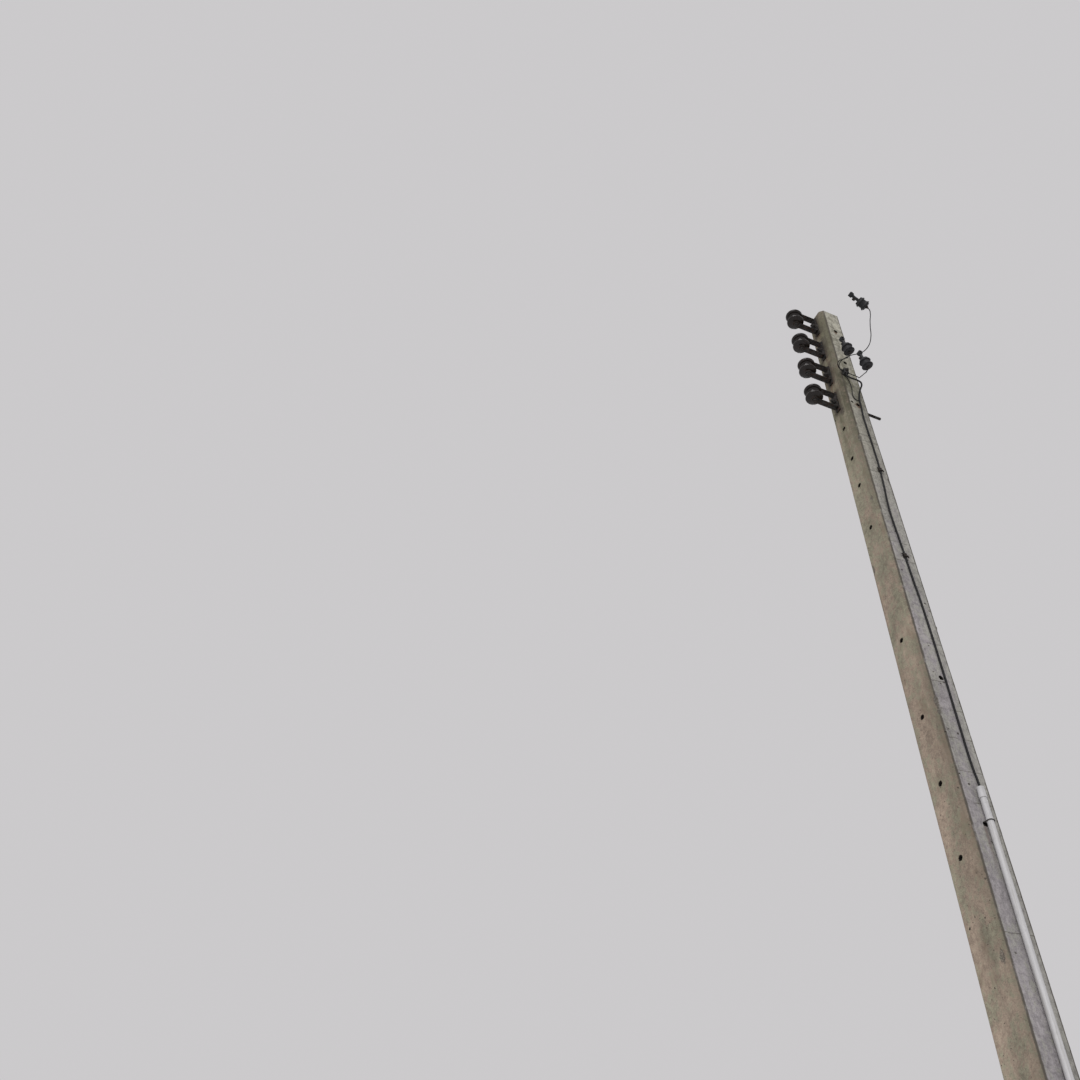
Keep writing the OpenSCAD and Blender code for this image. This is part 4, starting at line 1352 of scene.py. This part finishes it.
# An arrester: the housing turned about the clamp's z, with its stud and nut below.
def makeArrester(s, i, polymer, steel):
    foot = -s["drop"] - s["long"] / 2
    body = revolve(housing(s), 64) + [0, 0, foot]
    threads = [(-s["stud"] + 0.0005, -s["studNut"])]
    stud = rod(s["studRadius"], -s["stud"], 0.001, threads, 0.0012, 0.0006) + [0, 0, foot]
    nut = turnedNut(s["small"], s["studNut"], 17 * i) + [0, 0, foot - s["studNut"]]
    parts = [shell(atClamp(s, i, body)), shell(atClamp(s, i, stud), 1), shell(atClamp(s, i, nut), 1)]
    mesh = makeMesh("arrester_%d" % (i + 1), parts, [polymer, steel], 35)
    addPiece("arrester_%d_body" % (i + 1), mesh, "arrester", "arrester_%d" % (i + 1))


# Where a lead begins: under the stud's end, or beside it.
def leadStart(s, i):
    aside, below = s["leadOuts"][i]
    out = s["drop"] + s["long"] / 2 + s["stud"] + below
    return tuple(atClamp(s, i, np.array([[-aside, 0, -out]]))[0])


# A cord that lies along its path and goes back into the object.
def addCord(name, points, radius, side, node):
    path = smoothPath(points, 6)
    mesh = makeMesh(name, [shell(tube(path, radius, side))], [cableJacket])
    piece = addPiece(name, mesh, "lead", node)


# Black moulded plastic of the clamps, and the arresters' polymer, both greyed by the sun.
blackSet = {
    "plastic": (0.015, 0.016, 0.018),
    "polymer": (0.017, 0.017, 0.019),
    "chalk": (0.058, 0.057, 0.054),
}


def blackPaint(name, base, s, rough):
    m = Shader(name)
    clouds = m.noise(70, 5, 0.6)
    fine = m.noise(800, 3, 0.65)
    film = m.level(m.upward(), 0.1, 0.95) * 0.45 + m.level(clouds, 0.48, 0.70) * 0.30
    color = m.mix(film * m.level(fine, 0.2, 0.65), base, s["chalk"])
    rough = rough + film * 0.3
    return m.finish(color=color, rough=rough, normal=m.bump(fine + clouds, 0.00025, 0.8), gloss=0.22)


blackPlastic = blackPaint("black_plastic", blackSet["plastic"], blackSet, 0.42)
blackPolymer = blackPaint("black_polymer", blackSet["polymer"], blackSet, 0.58)
for number in range(3):
    makeLineClamp(arrester, number, blackPlastic, zincBolts)
    makeArrester(arrester, number, blackPolymer, zincBolts)
    route = [leadStart(arrester, number)] + fromTop(cords["lead%d" % (number + 1)])
    addCord("arrester_lead_%d_cable" % (number + 1), route, cords["thin"], (0.2, 0.5, 0.9),
            "arrester_lead_%d" % (number + 1))
print("arresters made")

# Earth clamp: two grooved halves drawn together by a bolt, flat against the post.
earthClamp = {
    "side": -0.029,
    "halfWide": 0.012,
    "halfHigh": 0.018,
    "thick": 0.022,
    "corner": 0.005,
    "baseEdge": 0.0012,
    "capEdge": 0.0022,
    "core": (0.003, 0.6),    # the dark middle: how far it is set in, and its share of the thickness
    "split": 0.0105,         # height of the joint between the halves
    "joint": 0.0012,         # how open the joint stands
    "washer": [(0.001, 0), (0.0085, 0), (0.009, 0.0004), (0.009, 0.0012), (0.0085, 0.0016), (0.001, 0.0016)],
    "washerHigh": 0.0016,
    "nut": 0.015,
    "nutHigh": 0.007,
    "bolt": 0.004,           # radius
    "boltEnd": 0.005,
}


# Base, dark middle and cap lie one on another, outwards from the post, with a washer, nut and bolt.
def makeEarthClamp(s, metal, steel):
    z = post["height"] - cords["clampDrop"]
    origin = (faceAt(z - s["halfHigh"]), s["side"], z)
    high, wide, thick, gap = s["halfHigh"], s["halfWide"], s["thick"], s["joint"] / 2
    inset, share = s["core"]
    base = slab(high, wide, s["split"] - gap, s["corner"], s["baseEdge"])
    core = slab(high - inset, wide - inset, thick * share, 0.003, 0.0008)
    cap = slab(high, wide, thick - s["split"] - gap, s["corner"], s["capEdge"]) + [0, 0, s["split"] + gap]
    washer = revolve(s["washer"], 32) + [0, 0, thick]
    nut = turnedNut(s["nut"], s["nutHigh"] - s["washerHigh"], 22) + [0, 0, thick + s["washerHigh"]]
    end = thick + s["nutHigh"] + s["boltEnd"]
    threads = [(thick + s["nutHigh"] - 0.001, end - 0.0005)]
    bolt = rod(s["bolt"], thick - 0.002, end, threads, 0.0013, 0.0006)
    parts = [(base, 0), (core, 0), (cap, 0), (washer, 1), (nut, 1), (bolt, 1)]
    shells = [shell(placed(p, origin, (0, 0, -1), (0, 1, 0), (1, 0, 0)), paint) for p, paint in parts]
    mesh = makeMesh("earth_clamp", shells, [metal, steel])
    addPiece("earth_clamp_body", mesh, "clamp_metal", "earth_clamp")


# Cast alloy gone dark, with a grey bloom in spots.
alloySet = {"alloy": (0.040, 0.039, 0.038), "dark": (0.012, 0.011, 0.010), "bloom": (0.085, 0.085, 0.082)}


def alloyPaint(s):
    m = Shader("weathered_alloy")
    clouds = m.noise(130, 5, 0.65)
    fine = m.noise(800, 3, 0.65)
    color = m.mix(m.level(clouds, 0.38, 0.62), s["dark"], s["alloy"])
    color = m.mix(m.level(m.noise(210, 5, 0.7, shift=(1, 2, 3)), 0.56, 0.68) * 0.6, color, s["bloom"])
    return m.finish(color=m.tone(color, 0.75 + fine * 0.45), rough=0.62, metal=0.4,
                    normal=m.bump(fine + clouds, 0.0004, 0.8))


makeEarthClamp(earthClamp, alloyPaint(alloySet), zincBolts)


# Earth lead: from the clamp out round its loop, down the face, and inside the conduit to its foot.
def makeEarthLead(s):
    points = fromTop(s["earthTop"])
    for side, drop in s["earthFace"]:
        z = post["height"] - drop
        points.append((faceAt(z) + s["ledge"], side, z))
    points += fromTop(s["earthMouth"])
    heights = [post["height"] - drop for drop in s["conduitDrops"]]
    points += [(conduitX(z), conduit["side"], z) for z in heights]
    path = smoothPath(points, 7)
    mesh = makeMesh("earth_lead", [shell(tube(path, s["thick"], (0.35, 1, 0.1), 16))], [cableJacket])
    addPiece("earth_lead_cable", mesh, "lead", "earth_lead")


makeEarthLead(cords)
addCord("bonding_loop_cable", fromTop(cords["loop"]), cords["thin"], (1, 0, 0.1), "bonding_loop")
print("earthing made")


# Pipe's points: the outline turned round the leaning axis, which runs beside the face, with the foot cut
# level at height 0.
def alongPipe(outline, cols=48):
    slope = math.atan(post["taper"] / 2)
    origin = (conduitX(0), conduit["side"], 0)
    points = placed(revolve(outline, cols), origin, (math.cos(slope), 0, math.sin(slope)), (0, 1, 0),
                    (-math.sin(slope), 0, math.cos(slope)))
    points[..., 2] = np.maximum(points[..., 2], 0)
    return points


# Outline of the pipe's wall, up outside and down inside: it flares above the tie and ends inside the bell.
def pipeOutline(s):
    r, inner, flare = s["radius"], s["radius"] - s["wall"], s["flareRadius"]
    foot = post["height"] - s["tieDrop"] + s["tieRadius"] + s["seat"]
    end = post["height"] - s["drop"] - s["bellStep"]
    outside = [(r, foot - 0.0004), (flare - 0.0004, foot), (flare, foot + 0.0006), (flare, foot + 0.002),
               (r, foot + s["flareHigh"]), (r, end - 0.0006), (r - 0.0006, end)]
    inside = [(inner + 0.0004, end), (inner, end - 0.0006)] + [(inner, z) for z in s["boreRings"]]
    return [(r, z) for z in s["rings"]] + outside + inside


# Outline of the bell: a band at each end, a shallow groove between them, and a bore for the pipe.
def bellOutline(s):
    big, bore = s["bellRadius"], s["radius"] + s["bellGap"]
    groove = big - s["bellGroove"]
    high = post["height"] - s["drop"]
    low = high - s["bellLong"]
    return [(bore, low + 0.0005), (bore + 0.0005, low), (big - 0.0005, low), (big, low + 0.0006),
            (big, low + 0.0036), (groove, low + 0.0044), (groove, high - 0.0044), (big, high - 0.0036),
            (big, high - 0.0006), (groove, high), (bore + 0.0006, high), (bore, high - 0.0006)]


# The pipe and its bell, each an outline turned round the leaning axis.
def makeConduit(s, plastic):
    pipe = makeMesh("conduit", [shell(alongPipe(pipeOutline(s)), 0, loop=True)], [plastic])
    addPiece("conduit_pipe", pipe, "conduit", "conduit")
    cup = makeMesh("conduit_bell", [shell(alongPipe(bellOutline(s)), 0, loop=True)], [plastic])
    addPiece("conduit_bell_cup", cup, "conduit", "conduit_bell")


# Pale rigid plastic: chalked by the sun, with dust, rain runs and scuffs.
pipeSet = {"plastic": (0.470, 0.464, 0.470), "dirt": (0.200, 0.184, 0.156), "scuff": (0.330, 0.326, 0.322)}


def pipePaint(s):
    m = Shader("pale_plastic")
    clouds = m.noise(18, 5, 0.6, stretch=(1, 1, 0.3))
    fine = m.noise(700, 3, 0.6)
    runs = m.level(m.noise(95, 4, 0.6, stretch=(1, 1, 0.03)), 0.50, 0.72)
    color = m.tone(s["plastic"], 0.80 + clouds * 0.30 + fine * 0.08)
    color = m.mix(m.level(clouds, 0.50, 0.74) * 0.35 + runs * 0.40, color, s["dirt"])
    scuffs = m.level(m.noise(140, 6, 0.75, stretch=(1, 1, 0.4), shift=(2, 6, 1)), 0.58, 0.66)
    color = m.mix(scuffs * 0.4, color, s["scuff"])
    # soil splashed up over the foot
    splash = m.level(m.z + (clouds - 0.5) * 0.5, 0.55, 0.05)
    color = m.mix(splash * 0.55, color, s["dirt"])
    return m.finish(color=color, rough=0.55 + runs * 0.2, normal=m.bump(fine + scuffs, 0.0003, 0.7))


makeConduit(conduit, pipePaint(pipeSet))


# Wire staple over a round piece on the lead's face: a half ring on the side away from the post, and two
# legs. The earth lead's ties have a few of them side by side, and their ends twisted into two short tails.
def staplePath(centre, radius, leftLeg, rightLeg):
    bow = arc((0, 0), radius, -90, 90, 17)
    ring = np.stack([bow[:, 0], bow[:, 1], 0 * bow[:, 0]], -1)
    path = np.concatenate([[(-rightLeg, -radius, 0)], ring, [(-leftLeg, radius, 0)]])
    return path + np.array(centre)


leadTies = {
    "places": [("lead_tie_upper", 0.007, 1.197), ("lead_tie_lower", 0.000, 1.720)],   # node, side, drop
    "wire": 0.0017,          # radius
    "apart": 0.0035,
    "rings": 5,
    "looser": 0.0003,        # how much wider each ring is than the one nearer the middle
    # middles of the twisted tails, from the face behind the tie
    "tails": [
        [(0.0050, 0.006, 0.003), (0.0080, 0.0085, 0.000), (0.0085, 0.011, -0.0045),
         (0.0070, 0.013, -0.0095)],
        [(0.0050, -0.006, -0.003), (0.0075, -0.0085, 0.000), (0.0075, -0.012, 0.0035),
         (0.0060, -0.016, 0.0060)]],
    "twist": 0.0017,         # radius of the tails' winding
    "turns": 3,
}


# Two wires wound round each other: each runs beside the tail's middle, at an angle that grows along it.
def twisted(s, middle):
    path = smoothPath(middle, 12)
    angle = np.linspace(0, 2 * np.pi * s["turns"], len(path))[:, None]
    across, along = squareTo(headings(path), (1, 0, 0))
    wind = s["twist"] * (across * np.cos(angle) + along * np.sin(angle))
    return [shell(tube(path + wind, s["wire"] * 0.8, (0.2, 0.1, 1), 8)),
            shell(tube(path - wind, s["wire"] * 0.8, (0.2, 0.1, 1), 8))]


# A tie: rings side by side over the lead, the outer ones a little wider, and two twisted tails.
def makeLeadTie(s, node, side, drop, paint):
    z = post["height"] - drop
    reach, gap, wire = cords["thick"], conduit["seat"], s["wire"]
    face = np.array([faceAt(z), side, z])
    shells = []
    for tail in s["tails"]:
        shells += twisted(s, face + np.array(tail))
    for turn in np.arange(s["rings"]) - s["rings"] // 2:
        centre = face + [reach + gap, 0, turn * s["apart"]]
        path = staplePath(centre, reach + gap + wire + s["looser"] * abs(turn), reach, reach)
        shells.append(shell(tube(path, wire, (0, 0, 1))))
    addPiece(node + "_wire", makeMesh(node + "_wire", shells, [paint]), "tie_wire", node)


# The conduit's tie: its left leg ends on the face, and its right one goes into a hole of the post.
def makeConduitTie(s, paint):
    z = post["height"] - s["tieDrop"]
    x, wire = conduitX(z), s["tieRadius"]
    off = x - faceAt(z)
    centre = (x, s["side"], z)
    path = staplePath(centre, s["radius"] + s["seat"] + wire, off - s["seat"], off + s["tieHook"])
    mesh = makeMesh("conduit_tie", [shell(tube(path, wire, (0, 0, 1)))], [paint])
    addPiece("conduit_tie_wire", mesh, "tie_wire", "conduit_tie")


# Iron wire gone dark, with rust in fine spots.
wireSet = {"iron": (0.020, 0.019, 0.018), "rust": (0.034, 0.020, 0.013)}


def wirePaint(s):
    m = Shader("dark_tie_wire")
    fine = m.noise(500, 5, 0.7)
    color = m.mix(m.level(fine, 0.42, 0.62), s["iron"], s["rust"])
    return m.finish(color=color, rough=0.72, metal=0.3, normal=m.bump(fine, 0.0003))


darkWire = wirePaint(wireSet)
for node, side, drop in leadTies["places"]:
    makeLeadTie(leadTies, node, side, drop, darkWire)
makeConduitTie(conduit, darkWire)
print("conduit and ties made")
